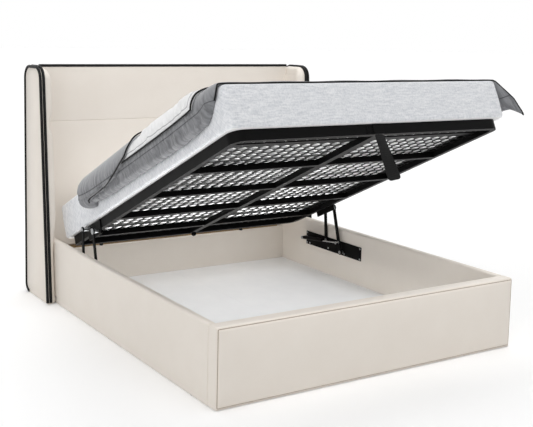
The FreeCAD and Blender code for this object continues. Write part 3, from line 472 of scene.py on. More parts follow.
def wing_path(low, high, rear, grow=0.0, steps=14):
    """Outline of a wing: from the foot of its front up, over the round top, down the back, round the heel.

    The front leans back in a straight line, and each corner is an arc. Grow moves the line outwards."""
    top, back = high + grow, rear + grow
    slope = (WING_FRONT_LOW - WING_FRONT_HIGH) / (high - low)
    lean = math.atan(slope)
    radius, heel = WING_CORNER + grow, WING_HEEL + grow
    start = np.array((rear - WING_FRONT_LOW - grow / math.cos(lean), low))
    front_y = start[0] + slope * (top - low) + radius * math.tan((math.pi / 2 - lean) / 2)
    front = arc((front_y, top - radius), radius, np.linspace(math.pi - lean, math.pi / 2, steps))
    upper = arc((back - radius, top - radius), radius, np.linspace(math.pi / 2, 0, steps))
    lower = arc((back - heel, low + heel), heel, np.linspace(0, -math.pi / 2, steps))
    rise = np.linspace(0, 1, 40)[:, None]
    return np.concatenate((
        start + (front[0] - start) * rise[:-1], front,
        upper, upper[-1] + (lower[0] - upper[-1]) * rise[1:-1], lower,
    ))


def drawn_in(path, inset):
    """A closed line moved inwards along its normals, which are its neighbours' chord turned a quarter."""
    chord = np.roll(path, -1, 0) - np.roll(path, 1, 0)
    chord /= np.linalg.norm(chord, axis=1)[:, None]
    return path + inset * np.stack((chord[:, 1], -chord[:, 0]), 1)


for side, sign in (("left", -1), ("right", 1)):
    low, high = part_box(f"{side}_wing_cover")
    inner, outer = (high[0], low[0]) if sign < 0 else (low[0], high[0])
    path = wing_path(COVER_FOOT, high[2], high[1])
    thick = abs(outer - inner)
    roll = thick - WING_BAND
    turn = np.linspace(0, math.pi / 2, 9)
    bend = turn[::3][::-1]
    across = np.concatenate((
        WING_EDGE * (1 - np.sin(bend)), [WING_BAND - 0.002, WING_BAND, WING_BAND + 0.002],
        WING_BAND + roll * np.sin(turn)[1:], [thick + WING_HIDDEN[0]],
    ))
    inset = np.concatenate((
        WING_EDGE * (1 - np.cos(bend)), [0.0, WING_GROOVE, WING_STEP],
        WING_STEP + WING_ROUND * (1 - np.cos(turn))[1:], [WING_HIDDEN[1]],
    ))
    rings = np.empty((len(across), len(path), 3))
    rings[..., 0] = (outer - sign * across)[:, None]
    rings[..., 1:] = np.stack([drawn_in(path, step) for step in inset])
    pinch = np.exp(-((path[:, 1] - SEAM_LEVEL) / SEAM_PINCH) ** 2)
    swell = np.clip((path[:, 1] - PUFF_START) / 0.2, 0, 1) * (1 - pinch)
    swell *= np.clip((high[2] - path[:, 1]) / 0.06, 0, 1) ** 0.5
    rings[..., 0] -= sign * WING_PUFF * np.clip((across - WING_BAND) / roll, 0, 1)[:, None] * swell
    wing = loft(f"{side}_wing_upholstery", rings)
    wing.data.materials.append(leather)
    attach(wing, "base")
    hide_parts(f"{side}_wing_cover")

# Piping: a round cord wrapped in black faux leather, sewn into the edges of the wings and along the
# headboard's top. Two rows lie side by side round each wing.
PIPING_RADIUS = 0.0085
PIPING_APART = 0.019
PIPING_PROUD = 0.002

# Black faux leather cut on the bias: near black, with a soft shine along the round of the cord.
piping_black, tree, shader, place, cloud = mottled(
    "black faux leather", "#060606", "#0F0F0F", 0.02, Roughness=0.5, IOR=1.48, Specular_IOR_Level=0.2
)
bump = add_node(tree, "ShaderNodeBump", {"Height": cloud.outputs["Fac"], "Strength": 0.2, "Distance": 0.001})
tree.links.new(bump.outputs[0], shader.inputs["Normal"])

for side, sign in (("left", -1), ("right", 1)):
    low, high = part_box(f"{side}_wing_cover")
    outer = low[0] if sign < 0 else high[0]
    for row, step, grow in (("outer", 0.0, 0.0), ("inner", PIPING_APART, PIPING_PROUD)):
        route = wing_path(COVER_FOOT + PIPING_RADIUS, high[2], high[1], grow)
        path = np.concatenate((np.full((len(route), 1), outer - sign * step), route), 1)
        cord = tube(f"{side}_wing_{row}_piping", path, PIPING_RADIUS)
        cord.data.materials.append(piping_black)
        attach(cord, "base")
        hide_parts(f"{side}_wing_piping")

low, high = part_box("headboard_top_piping")
at = np.linspace(low[0], high[0], 30)
path = np.stack((at, np.full(30, (low[1] + high[1]) / 2), np.full(30, (low[2] + high[2]) / 2 - 0.001)), 1)
cord = tube("headboard_top_cord", path, PIPING_RADIUS)
cord.data.materials.append(piping_black)
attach(cord, "base")
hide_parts("headboard_top_piping")

# Fixings inside the box: zinc plated cleats and bolts that hold the rails to the foot and headboard,
# and steel rests with rubber buffers that the closed platform sits on.

# Zinc plate on pressed steel: a cool grey metal, half dull, with faint cloudy spangle.
zinc = mottled("zinc plated steel", "#8E9092", "#B9BBBC", 0.012, Metallic=1.0, Roughness=0.38)[0]
coat_nodes(
    zinc, "corner_angles", "corner_bolts", "plate_screws", "base_pivot_pins", "strut_pins",
    "platform_pivot_pins",
)

# Moulded rubber: black, matt, slightly dusty.
rubber = mottled("moulded rubber", "#161616", "#242322", 0.006, Roughness=0.8, IOR=1.52)[0]
coat_nodes(rubber, "rest_buffers")

# Lift mechanism: on each side a plate on the rail with two swinging arms and a gas strut, cut and
# pressed from steel strip and coated black. The platform's welded tube frame has the same coat.
STEEL_PAIRS = ("base_plate", "rear_arm", "front_arm", "strut_cylinder", "lift_bracket", "side_tube")
STEEL_SINGLE = (
    "foot_rests", "platform_head_tube", "platform_foot_tube", "rim_corners", "centre_beam", "cross_bars",
    "beam_lug", "strap_clip",
)

# Powder coat on steel: deep satin black with orange peel, thin and a little bright along the edges. The
# real ripple is about 1 mm, drawn at 3 mm to show, and the rounded edges are 2 mm.
powder, tree, shader, place, cloud = mottled(
    "black powder coat", "#050505", "#0A0A0A", 0.08, 4.0, Roughness=0.45, IOR=1.5, Specular_IOR_Level=0.07
)
peel = add_node(tree, "ShaderNodeTexNoise", {"Vector": place, "Scale": 1 / 0.003, "Detail": 1.0})
edge = add_node(tree, "ShaderNodeBevel", {"Radius": 0.002}, samples=4)
ripples = {"Height": peel.outputs["Fac"], "Normal": edge.outputs[0], "Strength": 0.15, "Distance": 0.0004}
bump = add_node(tree, "ShaderNodeBump", ripples)
tree.links.new(bump.outputs[0], shader.inputs["Normal"])
coat_nodes(powder, *STEEL_SINGLE, *(f"{side}_{name}" for name in STEEL_PAIRS for side in ("left", "right")))

# Chrome plated rod, ground and polished: a bright mirror with fine turning lines round it.
chrome, tree, shader, place = new_material(
    "chrome plated rod", Base_Color=linear("#D5D7DA"), Metallic=1.0, Roughness=0.12
)
lines = add_node(tree, "ShaderNodeTexWave", {"Vector": place, "Scale": 1 / 0.006}, bands_direction="Y")
turning = {"Height": lines.outputs["Fac"], "Strength": 0.05, "Distance": 0.0002}
bump = add_node(tree, "ShaderNodeBump", turning)
tree.links.new(bump.outputs[0], shader.inputs["Normal"])
coat_nodes(chrome, "left_strut_rod", "right_strut_rod")

# Expanded mesh: a steel sheet slit and stretched into lens shaped openings, its strands tipped like
# louvres, welded over the cross bars in two halves beside the centre beam.
TILT = math.radians(24.36)
HEAD_Y, HEAD_Z = 0.7835, 0.358
MESH_X = (0.001, 0.743)
MESH_S = (0.058, 1.942)
MESH_PITCH = (0.0558, 0.0562)
MESH_OPENING = (0.0475, 0.0345)
MESH_LEVEL = -0.0192
MESH_TIP = 0.0022
MESH_THICK = 0.0016
MESH_JOIN = 0.0002


def on_platform(x, s, h):
    """Place of a point on the tilted platform: s runs from the head end to the foot, h up from the rim.

    The tilt's cosine of s comes off y and its sine goes on z, and h adds its sine to y and cosine to z."""
    y = HEAD_Y - s * math.cos(TILT) + h * math.sin(TILT)
    z = HEAD_Z + s * math.sin(TILT) + h * math.cos(TILT)
    return np.stack(np.broadcast_arrays(x, y, z), -1)


def expanded_sheet(name, x_low, x_high, s_low, s_high):
    """A sheet of equal cells, in each of which 16 quads join the square edge to a lens of two arcs.

    The lens is x = a cos t, s = b sin t |sin t| ^ 0.4, and its long strands are tipped, one up, one down."""
    cols = round((x_high - x_low) / MESH_PITCH[0])
    rows = round((s_high - s_low) / MESH_PITCH[1])
    half = np.array(((x_high - x_low) / cols, (s_high - s_low) / rows)) / 2
    t = np.arange(16) * math.pi / 8
    reach = 1 / np.maximum(np.abs(np.cos(t)), np.abs(np.sin(t)))
    edge = np.stack((np.cos(t) * reach * half[0], np.sin(t) * reach * half[1], np.zeros(16)), 1)
    lens = np.stack((
        np.cos(t) * MESH_OPENING[0] / 2, np.sin(t) * np.abs(np.sin(t)) ** 0.4 * MESH_OPENING[1] / 2,
        np.sin(t) * MESH_TIP,
    ), 1)
    cell = np.concatenate((edge, lens))
    i, j = np.meshgrid(np.arange(cols), np.arange(rows), indexing="ij")
    centre = np.stack((x_low + (2 * i + 1) * half[0], s_low + (2 * j + 1) * half[1], np.zeros(i.shape)), -1)
    points = centre.reshape(-1, 1, 3) + cell
    k = np.arange(16)
    quad = np.stack((k, (k + 1) % 16, (k + 1) % 16 + 16, k + 16), 1)
    faces = quad[None] + 32 * np.arange(cols * rows)[:, None, None]
    flat = points.reshape(-1, 3)
    return new_piece(name, on_platform(flat[:, 0], flat[:, 1], MESH_LEVEL + flat[:, 2]), faces, smooth=False)


for side, x_low, x_high in (("left", -MESH_X[1], -MESH_X[0]), ("right", *MESH_X)):
    sheet = expanded_sheet(f"{side}_expanded_mesh", x_low, x_high, *MESH_S)
    join = sheet.modifiers.new("join", "WELD")
    join.merge_threshold = MESH_JOIN
    wall = sheet.modifiers.new("wall", "SOLIDIFY")
    wall.thickness = MESH_THICK
    wall.offset = 0
    sheet.data.materials.append(powder)
    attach(sheet, "platform")
    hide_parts(f"{side}_mesh")

# Mattress: a foam and spring core in a light grey linen-look cover, with square edges, round corners
# and faces that swell a few millimetres, and a white felt underside. It lies on the platform's mesh.
MATTRESS = (0.800, 2.000, 0.195)
MATTRESS_CORNER = 0.034
MATTRESS_EDGE = 0.014
MATTRESS_SWELL = 0.0025
turn = np.linspace(0, math.pi / 2, 7)
rise, draw = MATTRESS_EDGE * (1 - np.cos(turn)), MATTRESS_EDGE * (1 - np.sin(turn))
upright = np.linspace(MATTRESS_EDGE, MATTRESS[2] - MATTRESS_EDGE, 12)[1:-1]
level = np.concatenate((rise, upright, MATTRESS[2] - rise[::-1]))
inset = np.concatenate((draw, np.zeros(len(upright)), draw[::-1]))
inset = inset - MATTRESS_SWELL * np.sin(np.pi * level / MATTRESS[2])
sides = np.stack([
    ring(2 * (MATTRESS[0] - a), MATTRESS[1] - 2 * a, MATTRESS_CORNER - a * 0.6, 8, 40) for a in inset
])
mattress = loft("mattress_cover", on_platform(sides[..., 0], MATTRESS[1] / 2 - sides[..., 1], level[:, None]))

# Linen-look knit, mixed grey yarns: slubs run both ways, drawn 5 to 7 mm thick and 45 mm long to show.
linen, tree, shader, place = new_material(
    "grey linen-look knit", Roughness=0.85, IOR=1.46, Sheen_Weight=0.2, Sheen_Roughness=0.5
)
turned = add_node(tree, "ShaderNodeMapping", {"Vector": place, "Rotation": (-TILT, 0.0, 0.0)})
slubs = []
for scale in ((1 / 0.045, 1 / 0.045, 1 / 0.005), (1 / 0.007, 1 / 0.007, 1 / 0.045)):
    yarn = add_node(tree, "ShaderNodeMapping", {"Vector": turned.outputs[0], "Scale": scale})
    slub = add_node(tree, "ShaderNodeTexNoise", {"Vector": yarn.outputs[0], "Scale": 1.0, "Detail": 3.0})
    slubs.append(slub.outputs["Fac"])
mixed = add_node(tree, "ShaderNodeMath", {0: slubs[0], 1: slubs[1]}, operation="ADD")
spread = add_node(tree, "ShaderNodeMapRange", {"Value": mixed.outputs[0], "From Min": 0.7, "From Max": 1.3})
colours = {0: spread.outputs[0], 6: linear("#D1D4D9"), 7: linear("#F4F5F7")}
tone = add_node(tree, "ShaderNodeMix", colours, data_type="RGBA")
tree.links.new(tone.outputs[2], shader.inputs["Base Color"])
bump = add_node(tree, "ShaderNodeBump", {"Height": mixed.outputs[0], "Strength": 0.25, "Distance": 0.001})
tree.links.new(bump.outputs[0], shader.inputs["Normal"])

# Needled polyester felt: plain white and matt, pressed to a faint fleck.
felt = mottled("white needled felt", "#EDEDED", "#FAFAFA", 0.01, Roughness=0.9, IOR=1.46)[0]

mattress.data.materials.append(linen)
mattress.data.materials.append(felt)
facing = np.empty(len(mattress.data.polygons) * 3)
mattress.data.polygons.foreach_get("normal", facing)
underside = facing.reshape(-1, 3) @ (0.0, math.sin(TILT), math.cos(TILT)) < -0.9
mattress.data.polygons.foreach_set("material_index", underside.astype(np.int32))
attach(mattress, "platform")
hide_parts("mattress")

# Comforter: a grey cotton cover with an airy filling, laid over the mattress with a short drop on each
# side. A stitch line along each drop draws the cloth into puckers, and black piping binds its foot.
COMFORTER_HALF = np.array([
    (0.803, 0.065), (0.822, 0.055), (0.849, 0.066), (0.853, 0.090), (0.862, 0.114), (0.858, 0.145),
    (0.846, 0.176), (0.822, 0.205), (0.785, 0.223), (0.740, 0.230), (0.600, 0.231), (0.400, 0.231),
    (0.200, 0.231),
])
SPAN = 4
STITCH = 4 * SPAN
COMFORTER_S = (0.500, 1.985)
COMFORTER_CUT = (0.085, -0.012)
HEM_S = (0.50, 0.66, 0.88, 1.09, 1.29, 1.47, 1.65, 1.78, 1.84, 1.88, 1.90)
HEM_H = (0.080, 0.058, 0.050, 0.051, 0.047, 0.044, 0.045, 0.051, 0.060, 0.078, 0.100)
HEM_RIGHT = 0.047
FOLD_DEPTH, WAVE_DEPTH, STITCH_DEPTH = 0.0075, 0.004, 0.004
GRIP_LONG = 0.025
FLARE_OUT, FLARE_ALONG, FLARE_SAG = 0.100, 0.03, 0.055
FILL_PRESSURE, FILL_STEPS = 0.4, 20
BED_GAP = 0.001
BED_PIPING = 0.004


def smooth_line(points, count):
    """Catmull-Rom curve through points.

    Each span is a cubic whose slope at a point is half the chord between that point's neighbours."""
    p = np.concatenate((2 * points[:1] - points[1:2], points, 2 * points[-1:] - points[-2:-1]))
    t = np.linspace(0, len(points) - 1, count)
    k = np.minimum(t.astype(int), len(points) - 2)
    f = (t - k)[:, None]
    a, b, c, e = p[k], p[k + 1], p[k + 2], p[k + 3]
    square, cube = 2 * a - 5 * b + 4 * c - e, 3 * b - a - 3 * c + e
    return 0.5 * (2 * b + (c - a) * f + square * f ** 2 + cube * f ** 3)


def ripple(along, *waves):
    """Uneven folds: a sum of sines, each with a length, a weight and a phase that wanders along the cloth."""
    turns = 2 * math.pi * along
    wander = 1.2 * np.sin(turns / 0.37)
    return sum(weight * np.sin(turns / length + phase + wander) for length, weight, phase in waves)


def filled(piece, shape, stitches, growth, cap):
    """Cloth simulation of a filled cover, whose face has a rim and stitched columns that are held.

    The rest of the face grows by a share and is blown up, and each point's move is cut softly to the cap.
    The result goes into the mesh, so no simulation is left, and one level of subdivision rounds it."""
    held = np.ones(len(piece.data.vertices), bool)
    face = held[:shape[0] * shape[1]].reshape(shape)
    face[1:-1, 1:-1] = False
    face[:, stitches] = True
    rest = np.empty(len(held) * 3, np.float32)
    piece.data.vertices.foreach_get("co", rest)
    group = piece.vertex_groups.new(name="held")
    group.add(np.flatnonzero(held).tolist(), 1.0, "REPLACE")
    cloth = piece.modifiers.new("filling", "CLOTH")
    cloth.settings.vertex_group_mass = "held"
    cloth.settings.shrink_min = -growth
    cloth.settings.bending_stiffness = 0.05
    cloth.settings.use_pressure = True
    cloth.settings.uniform_pressure_force = FILL_PRESSURE
    cloth.settings.effector_weights.gravity = 0
    cloth.collision_settings.use_collision = False
    for step in range(1, FILL_STEPS + 1):
        bpy.context.scene.frame_set(step)
    blown = np.empty_like(rest)
    result = piece.evaluated_get(bpy.context.evaluated_depsgraph_get())
    result.data.vertices.foreach_get("co", blown)
    piece.modifiers.remove(cloth)
    piece.vertex_groups.clear()
    bpy.context.scene.frame_set(1)
    move = (blown - rest).reshape(-1, 3)
    far = np.maximum(np.linalg.norm(move, axis=1), 1e-9)
    move *= (cap * np.tanh(far / cap) / far)[:, None]
    piece.data.vertices.foreach_set("co", (rest.reshape(-1, 3) + move).ravel())
    piece.data.update()
    soft = piece.modifiers.new("soft", "SUBSURF")
    soft.levels = soft.render_levels = 1


section = np.concatenate((COMFORTER_HALF * (-1, 1), [(0.0, 0.231)], COMFORTER_HALF[::-1]))
line = smooth_line(section, SPAN * (len(section) - 1) + 1)
slope = np.gradient(line, axis=0)
outward = np.stack((-slope[:, 1], slope[:, 0]), 1) / np.linalg.norm(slope, axis=1)[:, None]
girth = np.concatenate(([0.0], np.cumsum(np.linalg.norm(np.diff(line, axis=0), axis=1))))
drop = np.clip((0.2 - line[:, 1]) / 0.145, 0, 1)
below = girth[STITCH] - np.minimum(girth, girth[-1] - girth)
hang = np.clip(below, 0, None)
bed_x = np.clip(line[:, 0], -MATTRESS[0] - BED_GAP, MATTRESS[0] + BED_GAP)
bed_top = MATTRESS[2] + BED_GAP


def laid(columns, s, lift):
    """x and h over the bed: the section line moved outwards by lift, its drop let down to the hem at s."""
    x = line[columns, 0] + lift * outward[columns, 0]
    hem = np.where((line[columns, 0] > 0) & (s > 1.2), HEM_RIGHT, np.interp(s, HEM_S, HEM_H))
    h = line[columns, 1] + lift * outward[columns, 1] + drop[columns] * (hem - COMFORTER_HALF[1, 1])
    return x, h


columns = np.arange(len(line))
v = np.linspace(0, 1, 161)[:, None]
right = line[:, 0] > 0
end = COMFORTER_S[1] - np.where(right, COMFORTER_CUT[1], COMFORTER_CUT[0]) * drop ** 1.5
s = COMFORTER_S[0] + v * (end - COMFORTER_S[0])
grip = hang / GRIP_LONG * np.exp(1 - hang / GRIP_LONG) + 0.25 * np.exp(-((below + 0.03) / 0.02) ** 2)
folds = ripple(s + 0.35 * hang, (0.055, 0.45, 0.4), (0.083, 0.5, 2.1), (0.131, 0.6, 4.0), (0.21, 0.5, 1.0))
waves = np.sin(2 * math.pi * line[:, 0] / 0.33 + 1)
waves = waves * np.sin(2 * math.pi * s / 0.29 + 0.7 * np.sin(5 * line[:, 0]))
lift = FOLD_DEPTH * grip * folds + WAVE_DEPTH * waves * (1 - drop)
lift = lift - STITCH_DEPTH * np.exp(-(below / 0.006) ** 2)
x, h = laid(columns, s, lift)
rear_h = np.minimum(h, bed_top)
rim = np.minimum(s - COMFORTER_S[0], end - s)
full = (0.12 + 0.88 * rounded(rim, 0.035)) * (0.45 + 0.55 * np.clip((end - s) / 0.16, 0, 1) ** 0.7)
x, h = bed_x + (x - bed_x) * full, rear_h + (h - rear_h) * full
flare = right * drop * np.clip((v - 0.86) / 0.14, 0, 1) ** 1.5
sag = FLARE_SAG * np.clip((flare - 0.7) / 0.3, 0, 1)
face = on_platform(x + FLARE_OUT * flare, s + FLARE_ALONG * flare, h - sag)
rear = on_platform(bed_x + FLARE_OUT * flare, s + FLARE_ALONG * flare, rear_h - sag)
comforter = pillow("grey_comforter", face, rear, np.stack(np.broadcast_arrays(s, below), -1))
filled(comforter, s.shape, (STITCH, -1 - STITCH), 0.08, 0.014)


def quilted_cotton(name, low, high, thread):
    """Cotton with a stitch line where the cloth map's second axis is nought, and gathers that leave it.

    Noise drawn out across the line makes the gathers. They reach the hem, where the second axis is above
    nought, and fade out a hand's breadth from the line on its other side."""
    material, tree, shader, place = new_material(
        name, Roughness=0.8, IOR=1.46, Sheen_Weight=0.2, Sheen_Roughness=0.4
    )
    crumple = {"Vector": place, "Scale": 1 / 0.05, "Detail": 5.0, "Distortion": 0.6}
    cloud = add_node(tree, "ShaderNodeTexNoise", crumple).outputs["Fac"]
    cloth = add_node(tree, "ShaderNodeUVMap", uv_map="cloth").outputs["UV"]
    across = add_node(tree, "ShaderNodeSeparateXYZ", {"Vector": cloth}).outputs["Y"]
    away = add_node(tree, "ShaderNodeMath", {0: across}, operation="ABSOLUTE").outputs[0]
    band = {"Value": away, "From Min": 0.0008, "From Max": 0.0030, "To Min": 1.0, "To Max": 0.0}
    stitch = add_node(tree, "ShaderNodeMapRange", band).outputs[0]
    fade = {"Value": across, "From Min": -0.11, "From Max": 0.0, "To Min": 0.12, "To Max": 1.0}
    pull = add_node(tree, "ShaderNodeMapRange", fade).outputs[0]
    long = {"Vector": cloth, "Rotation": (0, 0, 0.25), "Scale": (1 / 0.022, 1 / 0.09, 1)}
    drawn = add_node(tree, "ShaderNodeMapping", long).outputs[0]
    uneven = {"Vector": drawn, "Scale": 1.0, "Detail": 3.0, "Distortion": 1.0}
    gather = add_node(tree, "ShaderNodeTexNoise", uneven).outputs["Fac"]
    depth = add_node(tree, "ShaderNodeMath", {0: gather, 1: pull}, operation="MULTIPLY").outputs[0]
    bump = add_node(tree, "ShaderNodeBump", {"Height": cloud, "Strength": 0.5, "Distance": 0.006}).outputs[0]
    puckers = {"Height": depth, "Normal": bump, "Strength": 0.9, "Distance": 0.014}
    bump = add_node(tree, "ShaderNodeBump", puckers).outputs[0]
    sunk = {"Height": stitch, "Normal": bump, "Strength": 0.7, "Distance": 0.002}
    bump = add_node(tree, "ShaderNodeBump", sunk, invert=True).outputs[0]
    tree.links.new(bump, shader.inputs["Normal"])
    # Painted shade: where the gathers sink, near the stitch line, the colour runs from high towards low.
    painted_hollow_shade = add_node(tree, "ShaderNodeMath", {0: 1.0, 1: gather}, operation="SUBTRACT").outputs[0]
    painted_hollow_shade = add_node(tree, "ShaderNodeMath", {0: painted_hollow_shade, 1: pull}, operation="MULTIPLY").outputs[0]
    painted_shade_share = add_node(tree, "ShaderNodeMapRange", {"Value": painted_hollow_shade, "From Min": 0.15, "From Max": 0.85})
    colours = {0: painted_shade_share.outputs[0], 6: linear(high), 7: linear(low)}
    tone = add_node(tree, "ShaderNodeMix", colours, data_type="RGBA")
    colours = {0: stitch, 6: tone.outputs[2], 7: linear(thread)}
    tone = add_node(tree, "ShaderNodeMix", colours, data_type="RGBA")
    tree.links.new(tone.outputs[2], shader.inputs["Base Color"])
    return material


# Brushed cotton, grey: soft and matt, gathered along its stitches, with painted shade darkening the
# gathers' hollows. The thread is drawn 5 mm wide to show, and the weave is too fine to.
cotton = quilted_cotton("grey brushed cotton", "#5A5B5E", "#9D9EA1", "#4C4D51")
comforter.data.materials.append(cotton)
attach(comforter, "platform")
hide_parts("comforter")

# Binding of the comforter: the same black faux leather piping, thinner, sewn on from one shoulder across
# the foot to the other.
edge = (face[-1] + 0.4 * (face[-2] - face[-1]))[4 * SPAN:-2]
cord = tube("comforter_foot_piping", edge, BED_PIPING)
cord.data.materials.append(piping_black)
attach(cord, "platform")

# Turned-back head end: the comforter's last half metre folded over on itself, so its grey lining lies
# on top as a thick soft roll. Its free edge is bound with piping and slants back towards the head.
TURN_FOLD = 0.455
TURN_EDGE = ((0.055, 0.075, 0.098, 0.117, 0.147, 0.19, 0.225), (0.56, 0.60, 0.85, 1.01, 1.15, 1.19, 1.20))
TURN_LIFT = 0.026
TURN_PUCKER, TURN_STITCH = 0.0065, 0.006
TURN_TIP = 0.010
free = np.interp(line[:, 1], *TURN_EDGE)
v = np.linspace(0, 1, 91)[:, None]
s = TURN_FOLD + v * (free - TURN_FOLD)
x, h = laid(columns, s, 0.0)
rear_h = np.minimum(h, bed_top)
folds = ripple(s - 0.5 * hang, (0.048, 0.5, 1.1), (0.071, 0.6, 3.0), (0.12, 0.6, 0.2))
lift = TURN_LIFT + TURN_PUCKER * grip * folds - TURN_STITCH * np.exp(-(below / 0.007) ** 2)
x, h = laid(columns, s, lift)
full = np.minimum(rounded(s - TURN_FOLD, 0.050), rounded(free - s, 0.020))
x, h = bed_x + (x - bed_x) * full, rear_h + (h - rear_h) * full
tip = drop * np.clip(1 - (s - TURN_FOLD) / 0.12, 0, 1) ** 1.5
h, rear_h = h + TURN_TIP * tip, rear_h + TURN_TIP * tip
turned_back = pillow(
    "comforter_turned_back", on_platform(x, s, h), on_platform(bed_x, s, rear_h),
    np.stack(np.broadcast_arrays(s + 0.5, below), -1),
)
filled(turned_back, s.shape, (STITCH, -1 - STITCH), 0.09, 0.016)
turned_back.data.materials.append(cotton)
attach(turned_back, "platform")
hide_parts("comforter")
inner = columns[2 * SPAN:-2 * SPAN]
x, h = laid(inner, free[inner], np.interp(line[inner, 1], (0.11, 0.15), (0.018, 0.030)))
cord = tube("turned_back_piping", on_platform(x, free[inner] + 0.004, h), BED_PIPING)
cord.data.materials.append(piping_black)
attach(cord, "platform")

# White quilt: the comforter's white upper side, a filled panel that reaches a little over each shoulder
# and is tucked under the turned-back end. A stitch line follows its edge, and black piping its rim.
QUILT_TUCK = 0.045
QUILT_FOOT = 1.830
QUILT_EDGE = 5 * SPAN - 1
QUILT_LIFT, QUILT_OVER, QUILT_UNDER = 0.016, 0.008, -0.006
QUILT_PUCKER, QUILT_STITCH = 0.0025, 0.004
QUILT_BOX = 0.24
QUILT_SEAM = 0.020
top = np.arange(QUILT_EDGE, len(line) - QUILT_EDGE)
v = np.linspace(0, 1, 71)[:, None]
start = free[top] - QUILT_TUCK
s = start + v * (QUILT_FOOT - start)
inward = np.minimum(girth[top] - girth[top[0]], girth[top[-1]] - girth[top])
rim = np.minimum(inward, np.minimum(s - start, QUILT_FOOT - s))
boxes = np.abs(np.sin(math.pi * line[top, 0] / QUILT_BOX)) ** 0.4
boxes = boxes * np.abs(np.sin(math.pi * (s - QUILT_FOOT + 0.02) / QUILT_BOX)) ** 0.4
puckers = ripple(s + 0.3 * inward, (0.06, 0.5, 0.3), (0.1, 0.6, 2.0), (0.17, 0.5, 1.0))
puckers *= np.exp(-((rim - 0.035) / 0.03) ** 2)
lift = QUILT_LIFT * rounded(rim, 0.03) * (0.7 + 0.3 * boxes) + QUILT_PUCKER * puckers
lift -= QUILT_STITCH * np.exp(-((rim - QUILT_SEAM) / 0.005) ** 2)
x, h = laid(top, s, lift + QUILT_OVER)
rear_x, rear_h = laid(top, s, QUILT_UNDER)
quilt = pillow(
    "white_top_quilt", on_platform(x, s, h), on_platform(rear_x, s, rear_h),
    np.stack((s + girth[top], QUILT_SEAM - rim), -1),
)
filled(quilt, s.shape, (0, -1), 0.05, 0.008)

# Bleached cotton: clean white, matt, gathered a little along the same stitch, with faint painted shade in the
# gathers' hollows.
white = quilted_cotton("bleached cotton", "#EDEDEE", "#FAFAFA", "#B4B4B6")
quilt.data.materials.append(white)
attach(quilt, "platform")
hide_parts("white_quilt")
x, h = laid(top, s, 0.010)
route = np.stack(np.broadcast_arrays(x, s, h), -1)
route = np.concatenate((route[:-1, 0], route[-1, :-1], route[:0:-1, -1]))
cord = tube("white_quilt_piping", on_platform(*route.T), BED_PIPING)
cord.data.materials.append(piping_black)
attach(cord, "platform")

# Pull strap: a doubled black webbing handle, riveted to the foot tube, that hangs stiffly below it with
# a lean and a quarter twist from use.
STRAP_WIDE, STRAP_LONG, STRAP_THICK = 0.058, 0.2186, 0.004
STRAP_END = 0.014
STRAP_AT = (-0.012, 1.978, -0.0516)
STRAP_LEAN = 0.13
STRAP_TWIST = (math.radians(-8), math.radians(34))
flat = ring(STRAP_WIDE, STRAP_LONG, STRAP_END, 6, 24)
depth = np.array((-0.5, -0.4, -0.2, 0.0, 0.2, 0.4, 0.5))[:, None] * STRAP_THICK
draw = np.array((0.0012, 0.0004, 0.0, 0.0, 0.0, 0.0004, 0.0012))[:, None]
across = flat[:, 0] * (1 - 2 * draw / STRAP_WIDE)
down = STRAP_LONG / 2 - flat[:, 1] * (1 - 2 * draw / STRAP_LONG)
twist = STRAP_TWIST[0] + (STRAP_TWIST[1] - STRAP_TWIST[0]) * (down / STRAP_LONG) ** 1.3
strap = loft("strap_webbing", on_platform(
    STRAP_AT[0] + STRAP_LEAN * down + across * np.cos(twist) - depth * np.sin(twist),
    STRAP_AT[1] + across * np.sin(twist) + depth * np.cos(twist), STRAP_AT[2] - down,
))

# Polyester webbing: black, close ribbed, ribs drawn 3 mm apart across the strap.
webbing, tree, shader, place = new_material(
    "polyester webbing", Roughness=0.65, IOR=1.5, Specular_IOR_Level=0.2
)
turned = add_node(tree, "ShaderNodeMapping", {"Vector": place, "Rotation": (-TILT, 0.0, 0.0)})
spacing = {"Vector": turned.outputs[0], "Scale": 0.314 / 0.003 / 2}
ribs = add_node(tree, "ShaderNodeTexWave", spacing, bands_direction="Z").outputs["Fac"]
colours = {0: ribs, 6: linear("#090909"), 7: linear("#151515")}
tone = add_node(tree, "ShaderNodeMix", colours, data_type="RGBA")
tree.links.new(tone.outputs[2], shader.inputs["Base Color"])
bump = add_node(tree, "ShaderNodeBump", {"Height": ribs, "Strength": 0.4, "Distance": 0.0008})
tree.links.new(bump.outputs[0], shader.inputs["Normal"])
strap.data.materials.append(webbing)
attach(strap, "pull_strap")
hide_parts("pull_strap")

# Studio: a plain pale floor of matt paper in an even white surround, with a broad lamp high behind the bed,
# a weaker low one at the front left, one on the headboard, one on the foot's top, and two wide soft ones in
# the box, down on its floor and up to the platform. Camera, gloss and glass see the surround as pure white.
FLOOR_HALF = 60
PAPER_GLOW = 0.09
SKY = 0.53
SUN_WIDTH = 50
bpy.context.scene.view_settings.view_transform = "Standard"
floor_mesh = bpy.data.meshes.new("studio_floor")
corners = [(a * FLOOR_HALF, b * FLOOR_HALF, 0) for a, b in ((-1, -1), (1, -1), (1, 1), (-1, 1))]
floor_mesh.from_pydata(corners, [], [(0, 1, 2, 3)])
floor = placed("studio_floor", floor_mesh)
floor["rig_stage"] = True


def seen_plainly(tree):
    """The largest of three light path marks: 1 where the camera, gloss or glass looks, 0 for light itself."""
    seen = add_node(tree, "ShaderNodeLightPath").outputs
    marks = {0: seen["Is Camera Ray"], 1: seen["Is Glossy Ray"]}
    either = add_node(tree, "ShaderNodeMath", marks, operation="MAXIMUM")
    marks = {0: either.outputs[0], 1: seen["Is Transmission Ray"]}
    return add_node(tree, "ShaderNodeMath", marks, operation="MAXIMUM").outputs[0]


